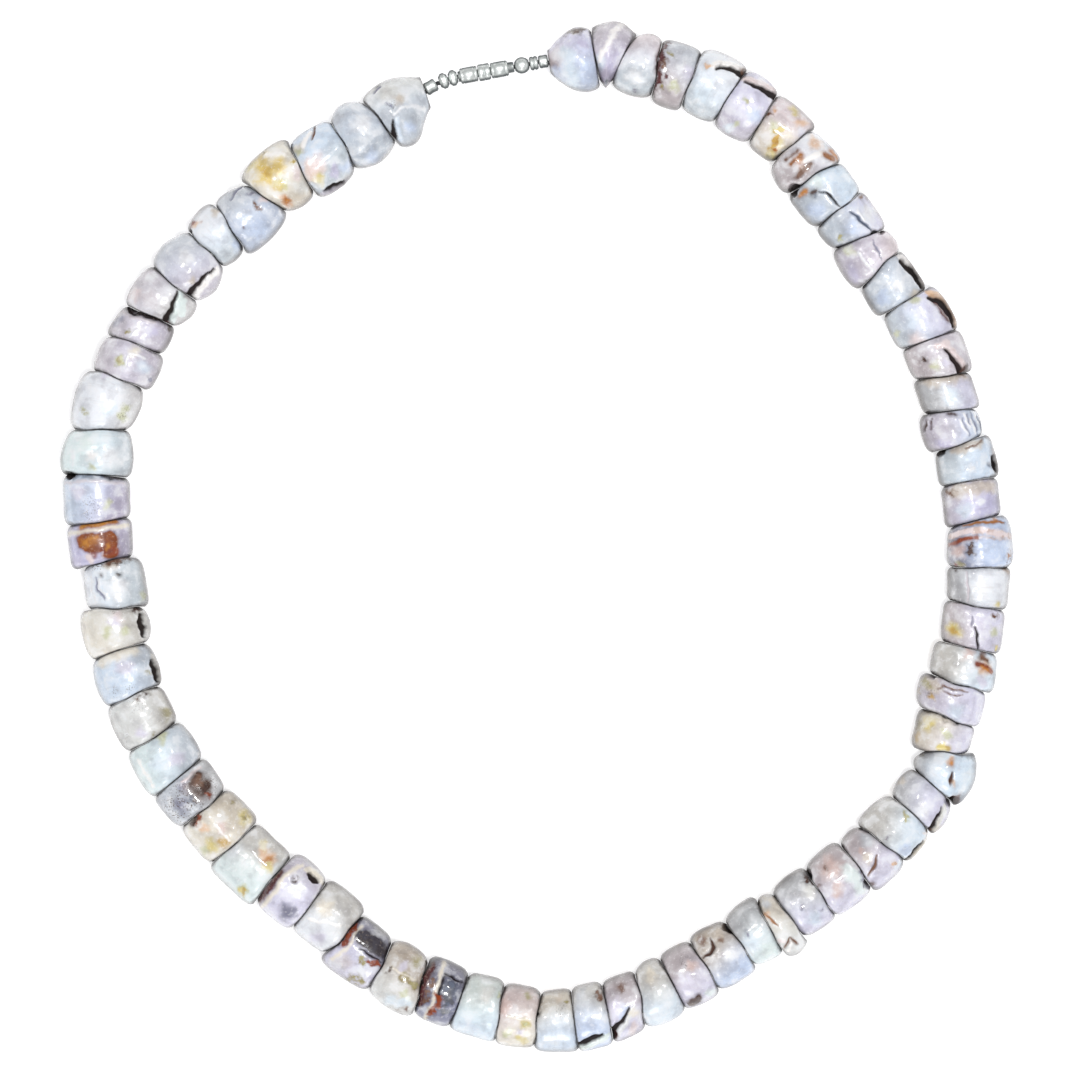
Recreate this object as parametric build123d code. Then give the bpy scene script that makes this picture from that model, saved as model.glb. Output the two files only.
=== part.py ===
from build123d import *
import math
import os

# A puka shell necklace that lies flat: worn cone-shell tops drilled and strung edge to edge on a
# thread, closed at the back by a small silver barrel clasp between round metal beads.
# All sizes are millimetres. The middle of the outline is over the origin and the floor is z = 0.

# Shell beads
bead_diameter = 10.7      # mean width of a shell bead
bead_flattening = 0.07    # how much lower than wide the flattest bead is, as a share of its width
bead_gap = 0.24           # space between the facing ends of two neighbouring beads
rim_slope = 1.15          # how far a worn rim reaches along the bead, for each mm that it narrows
rim_limit = 0.42          # the most of a bead's length that one rim may take up
rim_roundness = 0.35      # share of the rim's narrowing that is left where the rounding ends
dish_depth = 0.45         # depth of the hollow in the far end of a bead
dish_share = 0.72         # width of that hollow, as a share of the end face
drill_diameter = 1.8      # hole through a bead

# Thread
thread_diameter = 0.8
thread_height = 5.3       # height of the thread's centre above the floor

# Metal beads and clasp
metal_gap = 0.15          # space between neighbouring metal pieces
bore_clearance = 0.1      # space round the thread in a metal bead, and round the clasp's screw
crimp_diameter = 2.2
crimp_length_left = 1.95
crimp_length_right = 1.5
crimp_rounding = 0.5
ball_diameter = 2.6
ball_length = 2.3         # between the ball's flat ends
rondelle_diameter = 2.55
rondelle_length = 1.4
rondelle_rounding = 0.42
spacer_diameter = 2.2
spacer_length = 1.3
spacer_rounding = 0.5
left_thread_gap = 0.6     # bare thread between the left crimp bead and the rondelles
barrel_diameter = 2.5
barrel_length = 2.75      # one half of the clasp's barrel, without its neck
barrel_rounding = 0.35
neck_diameter = 1.7
left_neck_length = 0.35
right_neck_length = 0.95
collar_diameter = 2.65
collar_length = 1.9
collar_bevel = 0.2
screw_diameter = 1.3
screw_reach = 1.7         # how far the screw goes into the left half of the barrel
cord_seat_depth = 1.0     # how deep the thread's end sits in a barrel half

# The few points that the thread's line passes by, clockwise from the right end of the clasp.
# The clasp lies on the straight run from the last point back to the first. centring moves them all
# so that the middle of the necklace's outline comes over the origin.
ROUTE = [
    (8.5, 77.45), (25.5, 73.0), (39.5, 64.5), (51.5, 49.0), (62.0, 33.0), (67.5, 15.5), (70.0, -3.5),
    (67.5, -23.0), (63.2, -39.4), (51.0, -53.0), (37.0, -62.8), (20.5, -71.8), (7.0, -77.3),
    (-8.0, -76.3), (-22.5, -70.3), (-35.5, -60.3), (-48.8, -48.8), (-60.0, -35.0), (-67.2, -18.5),
    (-69.8, 0.0), (-70.0, 18.0), (-63.0, 35.0), (-51.5, 47.8), (-37.0, 59.5), (-24.0, 67.3),
    (-15.8, 73.1),
]
centring = (0.32, -0.29)
clasp_share = 0.29        # where on that straight run the clasp's collar is centred
arc_share = 0.45          # share of a run that the arc at its end may take up

# The beads in order, clockwise from the clasp. length is a share of the mean bead's length, width
# and shift (outwards from the thread) are shares of bead_diameter, tilt is the slant of the joint
# at the bead's far end in degrees, and near and far are the widths of its two rims as shares of
# the bead's own width.
BEADS = [
    # length, width, shift, tilt, near, far
    (1.19, 0.94, 0.01, -13, 0.37, 0.88),
    (0.67, 1.01, 0.08, 16, 0.84, 0.80),
    (0.84, 0.98, 0.02, -5, 0.84, 0.88),
    (0.89, 1.02, 0.00, 0, 0.88, 0.88),
    (1.03, 1.06, 0.06, 3, 0.86, 0.86),
    (0.95, 1.04, 0.03, -4, 0.88, 0.82),
    (1.03, 0.94, 0.03, 6, 0.88, 0.84),
    (0.93, 1.01, -0.07, 6, 0.80, 0.92),
    (0.95, 0.97, -0.09, -2, 0.92, 0.88),
    (0.94, 0.93, -0.07, 12, 0.90, 0.86),
    (0.85, 0.96, -0.12, -10, 0.84, 0.88),
    (1.01, 0.88, -0.08, 0, 0.92, 0.92),
    (1.11, 0.98, 0.02, 4, 0.84, 0.90),
    (0.94, 0.94, 0.04, 9, 0.92, 0.90),
    (0.90, 0.88, 0.00, 8, 0.93, 0.92),
    (0.81, 0.92, -0.08, -7, 0.88, 0.88),
    (0.99, 0.92, 0.03, -2, 0.86, 0.90),
    (0.98, 0.87, 0.02, -9, 0.94, 0.93),
    (1.09, 1.00, 0.09, -1, 0.84, 0.92),
    (0.92, 0.94, 0.07, 5, 0.95, 0.92),
    (1.06, 0.95, 0.05, 5, 0.90, 0.90),
    (0.91, 1.02, 0.00, 6, 0.86, 0.94),
    (0.89, 1.06, -0.10, 7, 0.90, 0.86),
    (0.81, 0.90, -0.08, -12, 0.94, 0.90),
    (0.88, 0.98, 0.12, 12, 0.76, 0.84),
    (0.89, 0.97, 0.04, 3, 0.80, 0.84),
    (1.00, 1.00, -0.03, -6, 0.80, 0.88),
    (0.86, 0.98, -0.01, 6, 0.88, 0.88),
    (1.06, 0.98, -0.07, 1, 0.87, 0.86),
    (0.97, 0.96, -0.08, -3, 0.88, 0.85),
    (0.54, 1.04, -0.01, 2, 0.86, 0.92),
    (0.84, 0.98, -0.11, -4, 0.93, 0.82),
    (1.04, 0.98, -0.06, -3, 0.84, 0.88),
    (0.91, 0.98, -0.03, -1, 0.88, 0.86),
    (0.88, 1.00, -0.02, 13, 0.86, 0.84),
    (0.86, 0.96, 0.00, 6, 0.88, 0.92),
    (0.81, 1.00, 0.00, 0, 0.90, 0.94),
    (0.93, 0.95, 0.01, 2, 0.95, 0.86),
    (0.93, 0.94, -0.03, -3, 0.88, 0.94),
    (1.08, 0.96, -0.06, 0, 0.92, 0.86),
    (0.98, 0.98, -0.07, -11, 0.86, 0.86),
    (1.14, 1.02, 0.00, -6, 0.84, 0.80),
    (1.20, 0.97, 0.02, 5, 0.82, 0.90),
    (1.10, 0.99, -0.09, -2, 0.88, 0.87),
    (1.06, 1.04, -0.06, -1, 0.86, 0.88),
    (1.32, 1.02, 0.04, 2, 0.90, 0.90),
    (1.14, 1.02, -0.01, 0, 0.90, 0.84),
    (0.96, 1.00, 0.01, -4, 0.86, 0.92),
    (1.18, 1.04, 0.02, -4, 0.88, 0.82),
    (1.09, 0.95, 0.04, -2, 0.88, 0.87),
    (1.15, 1.00, 0.02, -4, 0.84, 0.82),
    (1.08, 1.04, -0.01, 6, 0.82, 0.86),
    (1.10, 0.94, -0.11, -7, 0.92, 0.87),
    (1.05, 0.98, 0.04, -5, 0.86, 0.94),
    (1.10, 1.00, 0.06, 4, 0.93, 0.94),
    (1.15, 1.10, 0.07, -10, 0.88, 0.76),
    (1.26, 1.02, 0.07, -1, 0.80, 0.84),
    (0.95, 0.98, -0.03, -6, 0.86, 0.88),
    (0.82, 0.92, 0.01, -10, 0.92, 0.84),
    (1.00, 1.01, 0.01, -3, 0.80, 0.84),
    (1.11, 1.05, 0.01, 0, 0.82, 0.74),
    (0.79, 0.94, 0.06, 9, 0.82, 0.90),
    (1.16, 0.98, -0.03, -16, 0.88, 0.76),
    (1.14, 1.03, 0.08, 8, 0.80, 0.86),
    (1.15, 1.01, -0.03, 2, 0.87, 0.80),
    (1.06, 1.05, -0.01, -7, 0.78, 0.76),
    (1.38, 1.03, -0.06, 14, 0.84, 0.50),
]
right_string_share = 0.5  # share of the beads that are on the right-hand string
golden_share = 0.618      # step of the uneven sequence that spreads the beads' heights
through = 3               # length of a cutter for a through hole, as a multiple of the hole's length


def arc_radii(points):
    """The radius of the arc at each inner point: as large as the two runs that meet there allow."""
    radii = []
    for before, corner, after in zip(points, points[1:], points[2:]):
        shorter_run = min((corner - before).length, (after - corner).length)
        turn = math.radians((corner - before).get_angle(after - corner))
        radii.append(arc_share * shorter_run / math.tan(turn / 2))
    return radii


thread_bore = thread_diameter + 2 * bore_clearance
screw_bore = screw_diameter + 2 * bore_clearance

# Places along the thread on the clasp's right-hand side, counted from the collar's middle
clasp_reach = collar_length / 2 + metal_gap + barrel_length
right_neck_end = clasp_reach + right_neck_length
right_seat = right_neck_end - cord_seat_depth + metal_gap
ball_middle = right_neck_end + metal_gap + ball_length / 2
spacer_middle = ball_middle + ball_length / 2 + metal_gap + spacer_length / 2
right_crimp_middle = spacer_middle + spacer_length / 2 + metal_gap + crimp_length_right / 2
string_start = right_crimp_middle + crimp_length_right / 2

# and on its left-hand side
left_neck_end = clasp_reach + left_neck_length
left_seat = left_neck_end - cord_seat_depth + metal_gap
inner_rondelle_middle = left_neck_end + metal_gap + rondelle_length / 2
outer_rondelle_middle = inner_rondelle_middle + rondelle_length + metal_gap
left_crimp_middle = (
    outer_rondelle_middle + rondelle_length / 2 + left_thread_gap + crimp_length_left / 2
)

# The thread's line, from its seat in the clasp's right half, clockwise to its seat in the left half
centring_x, centring_y = centring
route_points = [Vector(x + centring_x, y + centring_y, thread_height) for x, y in ROUTE]
clasp_run = route_points[0] - route_points[-1]
clasp_direction = clasp_run.normalized()
collar_centre = route_points[-1] + clasp_run * clasp_share
arc_sizes = arc_radii([collar_centre, *route_points, collar_centre])
thread_line = FilletPolyline(
    collar_centre + clasp_direction * right_seat,
    *route_points,
    collar_centre - clasp_direction * left_seat,
    radius=arc_sizes,
).wire()
loop_length = right_seat + thread_line.length + left_seat


def cross_plane(distance, tilt=0.0):
    """The plane across the thread, at a distance clockwise from the collar's middle.

    Its x points outwards, its y up and its z along the thread.
    """
    place = distance - right_seat
    along = thread_line.tangent_at(place, position_mode=PositionMode.LENGTH).normalized()
    outwards = Vector(0, 0, 1).cross(along).rotate(Axis.Z, -tilt)
    return Plane(
        origin=thread_line.position_at(place, position_mode=PositionMode.LENGTH),
        x_dir=outwards,
        z_dir=outwards.cross(Vector(0, 0, 1)),
    )


def plane_between(near, far, share):
    """A plane part of the way from one cross plane to another."""
    return Plane(
        origin=near.origin + (far.origin - near.origin) * share,
        x_dir=near.x_dir * (1 - share) + far.x_dir * share,
        z_dir=near.z_dir * (1 - share) + far.z_dir * share,
    )


def shell_bead(index, start, end, start_tilt):
    """One shell bead: a barrel with rounded rims between two slanted joints, drilled and dished."""
    _, width_share, shift_share, end_tilt, near_rim, far_rim = BEADS[index]
    near = cross_plane(start, start_tilt).offset(bead_gap / 2)
    far = cross_plane(end, end_tilt).offset(-bead_gap / 2)
    length = (far.origin - near.origin).length
    half_width = bead_diameter * width_share / 2
    half_height = half_width * (1 - bead_flattening * (index * golden_share % 1))
    shift = Vector(bead_diameter * shift_share, half_height - thread_height)

    def section(share, size):
        centre = shift * size
        return plane_between(near, far, share) * Pos(centre.X, centre.Y) * Ellipse(
            half_width * size, half_height * size
        )

    near_reach, far_reach = (
        min(rim_slope * half_width * (1 - rim) / length, rim_limit) for rim in (near_rim, far_rim)
    )
    sections = [
        section(0, near_rim),
        section(near_reach, 1 - (1 - near_rim) * rim_roundness),
        section((1 + near_reach - far_reach) / 2, 1),
        section(1 - far_reach, 1 - (1 - far_rim) * rim_roundness),
        section(1, far_rim),
    ]
    bead = loft(sections)
    resting_bead = Pos(0, 0, -bead.bounding_box().min.Z) * bead
    drill = Plane(origin=near.origin, z_dir=far.origin - near.origin) * Cylinder(
        drill_diameter / 2, through * length
    )
    dish_radius = half_height * far_rim * dish_share
    ball_radius = (dish_radius**2 + dish_depth**2) / (2 * dish_depth)
    dish_centre = shift * far_rim
    dish = far * Pos(dish_centre.X, dish_centre.Y, ball_radius - dish_depth) * Sphere(ball_radius)
    return resting_bead - drill - dish


def drum(length, diameter, rounding):
    """A short cylinder with rounded rims, standing on z = 0."""
    body = Pos(0, 0, length / 2) * Cylinder(diameter / 2, length)
    return fillet(body.edges().filter_by(GeomType.CIRCLE), rounding)


def bored(body, length):
    """A metal bead standing on z = 0, bored for the thread."""
    return body - Pos(0, 0, length / 2) * Cylinder(thread_bore / 2, through * length)


def ball_bead():
    """A round metal bead, flattened where it meets its neighbours, standing on z = 0."""
    middle = Pos(0, 0, ball_length / 2)
    return middle * (Sphere(ball_diameter / 2) & Cylinder(ball_diameter, ball_length))


def ring(length, diameter, bore, bevel):
    """A bevelled ring standing on z = 0."""
    body = Pos(0, 0, length / 2) * Cylinder(diameter / 2, length)
    body = chamfer(body.edges().filter_by(GeomType.CIRCLE), bevel)
    return body - Pos(0, 0, length / 2) * Cylinder(bore / 2, through * length)


def barrel_half(neck_length):
    """Half of the clasp's barrel with its neck and the thread's seat, standing on z = 0."""
    top = barrel_length + neck_length
    neck = Pos(0, 0, (barrel_length + top) / 2) * Cylinder(neck_diameter / 2, neck_length)
    seat = Pos(0, 0, top - cord_seat_depth / 2) * Cylinder(thread_bore / 2, cord_seat_depth)
    return drum(barrel_length, barrel_diameter, barrel_rounding) + neck - seat


def write(node, shape):
    """Writes one sub-part as parts/NODE.step."""
    shape.label = node
    export_step(shape, f"parts/{node}.step")


os.makedirs("parts", exist_ok=True)

# Shell beads
string_end = loop_length - left_crimp_middle - crimp_length_left / 2
mean_length = (string_end - string_start) / sum(length_share for length_share, *_ in BEADS)
right_count = round(len(BEADS) * right_string_share)
beads = []
start, start_tilt = string_start, 0.0
for index, (length_share, _, _, end_tilt, _, _) in enumerate(BEADS):
    end = start + mean_length * length_share
    beads.append(shell_bead(index, start, end, start_tilt))
    start, start_tilt = end, end_tilt
write("shell_string_right", Compound(children=beads[:right_count]))
write("shell_string_left", Compound(children=beads[right_count:]))

# Thread
thread = sweep(Plane(thread_line.location_at(0)) * Circle(thread_diameter / 2), path=thread_line)
write("thread", thread)

# Round metal beads on the thread
rondelle = drum(rondelle_length, rondelle_diameter, rondelle_rounding)
for node, middle, length, body in (
    ("ball_bead_right", ball_middle, ball_length, ball_bead()),
    ("spacer_bead_right", spacer_middle, spacer_length,
     drum(spacer_length, spacer_diameter, spacer_rounding)),
    ("crimp_bead_right", right_crimp_middle, crimp_length_right,
     drum(crimp_length_right, crimp_diameter, crimp_rounding)),
    ("rondelle_left_inner", loop_length - inner_rondelle_middle, rondelle_length, rondelle),
    ("rondelle_left_outer", loop_length - outer_rondelle_middle, rondelle_length, rondelle),
    ("crimp_bead_left", loop_length - left_crimp_middle, crimp_length_left,
     drum(crimp_length_left, crimp_diameter, crimp_rounding)),
):
    write(node, cross_plane(middle).offset(-length / 2) * bored(body, length))

# Barrel clasp: the right half's screw passes through the collar into the left half
collar_plane = Plane(
    origin=collar_centre,
    x_dir=Vector(0, 0, 1).cross(clasp_direction),
    z_dir=clasp_direction,
)
right_face = collar_plane.offset(collar_length / 2 + metal_gap)
left_face = Plane(
    origin=collar_plane.offset(-collar_length / 2 - metal_gap).origin,
    x_dir=collar_plane.x_dir,
    z_dir=-collar_plane.z_dir,
)
screw_length = screw_reach + collar_length + 2 * metal_gap
screw = Pos(0, 0, -screw_length / 2) * Cylinder(screw_diameter / 2, screw_length)
socket_depth = screw_reach + bore_clearance
socket = Pos(0, 0, socket_depth / 2) * Cylinder(screw_bore / 2, socket_depth)
write("clasp_barrel_right", right_face * (barrel_half(right_neck_length) + screw))
write("clasp_barrel_left", left_face * (barrel_half(left_neck_length) - socket))
write(
    "clasp_collar",
    collar_plane.offset(-collar_length / 2)
    * ring(collar_length, collar_diameter, screw_bore, collar_bevel),
)

print("thread arc radii", [round(size, 1) for size in arc_sizes])
print("loop", round(loop_length, 1), "mean bead", round(mean_length, 2), "beads", len(BEADS))
print(
    "thread", round(thread_line.length, 1), "volume", round(thread.volume, 2),
    "section times length", round(math.pi * thread_diameter**2 / 4 * thread_line.length, 2),
)
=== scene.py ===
# Puka shell necklace lying flat in its closed loop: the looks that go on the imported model.
# Lengths in the settings are millimetres and are turned to metres where they are used.
import math
import random
from functools import partial
from types import SimpleNamespace

import bmesh
import bpy
import numpy as np
from mathutils import Matrix, Vector
from mathutils.bvhtree import BVHTree


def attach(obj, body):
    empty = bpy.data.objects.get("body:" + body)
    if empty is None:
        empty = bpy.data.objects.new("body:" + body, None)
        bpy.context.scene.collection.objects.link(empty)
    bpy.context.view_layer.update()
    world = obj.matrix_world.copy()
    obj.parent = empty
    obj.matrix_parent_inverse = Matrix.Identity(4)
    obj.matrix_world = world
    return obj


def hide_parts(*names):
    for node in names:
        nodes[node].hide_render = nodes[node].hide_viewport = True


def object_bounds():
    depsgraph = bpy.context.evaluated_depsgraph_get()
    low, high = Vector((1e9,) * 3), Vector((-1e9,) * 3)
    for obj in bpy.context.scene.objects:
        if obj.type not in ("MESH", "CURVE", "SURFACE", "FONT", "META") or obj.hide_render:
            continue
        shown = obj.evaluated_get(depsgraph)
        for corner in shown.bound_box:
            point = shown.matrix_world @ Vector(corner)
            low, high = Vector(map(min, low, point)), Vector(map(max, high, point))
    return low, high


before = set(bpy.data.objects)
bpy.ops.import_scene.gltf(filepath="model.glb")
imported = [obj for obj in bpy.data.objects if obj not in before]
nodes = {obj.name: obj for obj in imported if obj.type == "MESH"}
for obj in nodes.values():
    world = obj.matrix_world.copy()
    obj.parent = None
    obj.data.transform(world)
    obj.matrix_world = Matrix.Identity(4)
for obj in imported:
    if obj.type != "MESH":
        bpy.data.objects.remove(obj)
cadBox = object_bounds()
mm = 0.001
random.seed(7)

# Camera, floor and light

photoView = {
    "pixelSize": 0.1594,          # mm of necklace to one pixel of the 1080 pixel wide photograph
    "pixels": 1080,
    "middle": (0.48, -0.53),      # what the middle of the photograph looks at
    "middleHeight": 5.5,          # height that the pixel size was measured at
    "lens": 135,
    "sensor": 36,
    "clip": (0.01, 10),
}


def newObject(name, data):
    made = bpy.data.objects.new(name, data)
    bpy.context.scene.collection.objects.link(made)
    return made


def makeCamera(s):
    width = s["pixelSize"] * s["pixels"]
    distance = width * s["lens"] / s["sensor"]
    data = bpy.data.cameras.new("overheadCamera")
    data.lens, data.sensor_width = s["lens"], s["sensor"]
    data.clip_start, data.clip_end = s["clip"]
    camera = newObject("overheadCamera", data)
    camera.location = Vector((*s["middle"], s["middleHeight"] + distance)) * mm
    bpy.context.scene.camera = camera


def feed(socket, value):
    # value is a number, a colour, an output, or a node whose first output in use is meant
    if isinstance(value, bpy.types.Node):
        value = next(output for output in value.outputs if output.enabled)
    if isinstance(value, bpy.types.NodeSocket):
        socket.id_data.links.new(value, socket)
    else:
        socket.default_value = (*value, 1) if socket.type == "RGBA" else value


def addNode(tree, kind, *inputs, **settings):
    # inputs go to the sockets in use, in their order; settings are options, or sockets by their name
    node = tree.nodes.new("ShaderNode" + kind)
    for key, value in settings.items():
        socket = node.inputs.get(key)
        if socket is None:
            setattr(node, key, value)
        else:
            feed(socket, value)
    for socket, value in zip([socket for socket in node.inputs if socket.enabled], inputs):
        feed(socket, value)
    return node


def linear(hexColour):
    # sRGB hex to the linear colour that the shaders want
    parts = [int(hexColour[i:i + 2], 16) / 255 for i in (1, 3, 5)]
    return [p / 12.92 if p <= 0.04045 else ((p + 0.055) / 1.055) ** 2.4 for p in parts]


def wire(shader, inputs):
    for key, value in inputs.items():
        feed(shader.inputs[key], value)


def newMaterial(name, constants):
    # constants are inputs of the shader that are the same all over
    material = bpy.data.materials.new(name)
    material.use_nodes = True
    tree = material.node_tree
    shader = tree.nodes["Principled BSDF"]
    wire(shader, constants)
    return material, tree, shader


studio = {
    "floorSize": 6,               # metres
    "floorColour": "#F0F0F0",
    "floorRoughness": (0.60, 0.68),
    "floorPatches": 3.0,          # duller and brighter ones across it
    "floorGlow": 0.42,            # the lit table under the necklace, which keeps the shadows faint
    "sky": ((0.0, 0.10), (0.55, 0.26), (1.0, 0.66)),
    "skyTint": (1, 1, 1.03),
    "softboxes": (                # place in metres, width, watts
        ((0.06, -0.05, 0.66), 0.06, 1.4),
        ((-0.17, 0.14, 0.62), 0.045, 0.85),
        ((0.22, 0.20, 0.58), 0.045, 0.7),
        ((0.0, -0.9, 0.55), 0.4, 2.4),
    ),
}


def makeStudio(s):
    bpy.context.scene.view_settings.view_transform = "Standard"
    bpy.ops.mesh.primitive_plane_add(size=s["floorSize"])
    floor = bpy.context.object
    floor.name = "studioFloor"
    # matt white paper, no grain in sight
    material, tree, shader = newMaterial("whitePaperSweep", {
        "Base Color": linear(s["floorColour"]), "Specular IOR Level": 0.1,
        "Emission Color": (1, 1, 1), "Emission Strength": s["floorGlow"]})
    noise = addNode(tree, "TexNoise", Scale=s["floorPatches"], Detail=1.0)
    wire(shader, {"Roughness": addNode(tree, "MapRange", noise, 0.0, 1.0, *s["floorRoughness"])})
    floor.data.materials.append(material)
    world = bpy.data.worlds.new("lightTent")
    bpy.context.scene.world = world
    world.use_nodes = True
    tree = world.node_tree
    height = addNode(tree, "SeparateXYZ", addNode(tree, "TexCoord")).outputs["Z"]
    ramp = addNode(tree, "ValToRGB", height)
    ramp.color_ramp.elements.new(s["sky"][1][0])
    for stop, (place, level) in zip(ramp.color_ramp.elements, s["sky"]):
        stop.position = place
        stop.color = (*(level * tint for tint in s["skyTint"]), 1)
    wire(tree.nodes["Background"], {"Color": ramp})
    for number, (place, width, watts) in enumerate(s["softboxes"]):
        data = bpy.data.lights.new(f"softbox{number}", "AREA")
        data.shape, data.size, data.energy = "SQUARE", width, watts
        light = newObject(data.name, data)
        light.location = place
        light.rotation_euler = (-Vector(place)).to_track_quat("-Z", "Y").to_euler()


makeCamera(photoView)
makeStudio(studio)
print("camera, floor and lights made")

# Shell beads

shellTones = {
    "ice": "#DAE6EF", "blue": "#CBD8EE", "sky": "#D3DEEA", "lavender": "#DAD6E5", "violet": "#C9C4DC",
    "mauve": "#D0C8CC", "white": "#EBECEE", "milk": "#FBF8F5", "mint": "#E0EBE8", "grey": "#CBCED2",
    "stone": "#DCDBD6", "cream": "#E9E1D1", "beige": "#CBBFB0", "pink": "#E4D5D4", "blush": "#D3B9B1",
    "peach": "#E4BF9E", "ochre": "#CDA650", "yellow": "#DAC97E", "olive": "#9F9668", "moss": "#C8CAA4",
    "orange": "#C07C2E", "amber": "#8E480C", "honey": "#C07E20", "rust": "#8C3E18", "brown": "#785846",
    "umber": "#4A3026", "maroon": "#582828", "steel": "#5C6476", "slate": "#8A8A9E", "dark": "#1A0E0A",
    "coal": "#3E3A42", "tan": "#A26A38", "gold": "#E6CB78",
}
shades = {name: np.array(linear(tone)) for name, tone in shellTones.items()}

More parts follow.
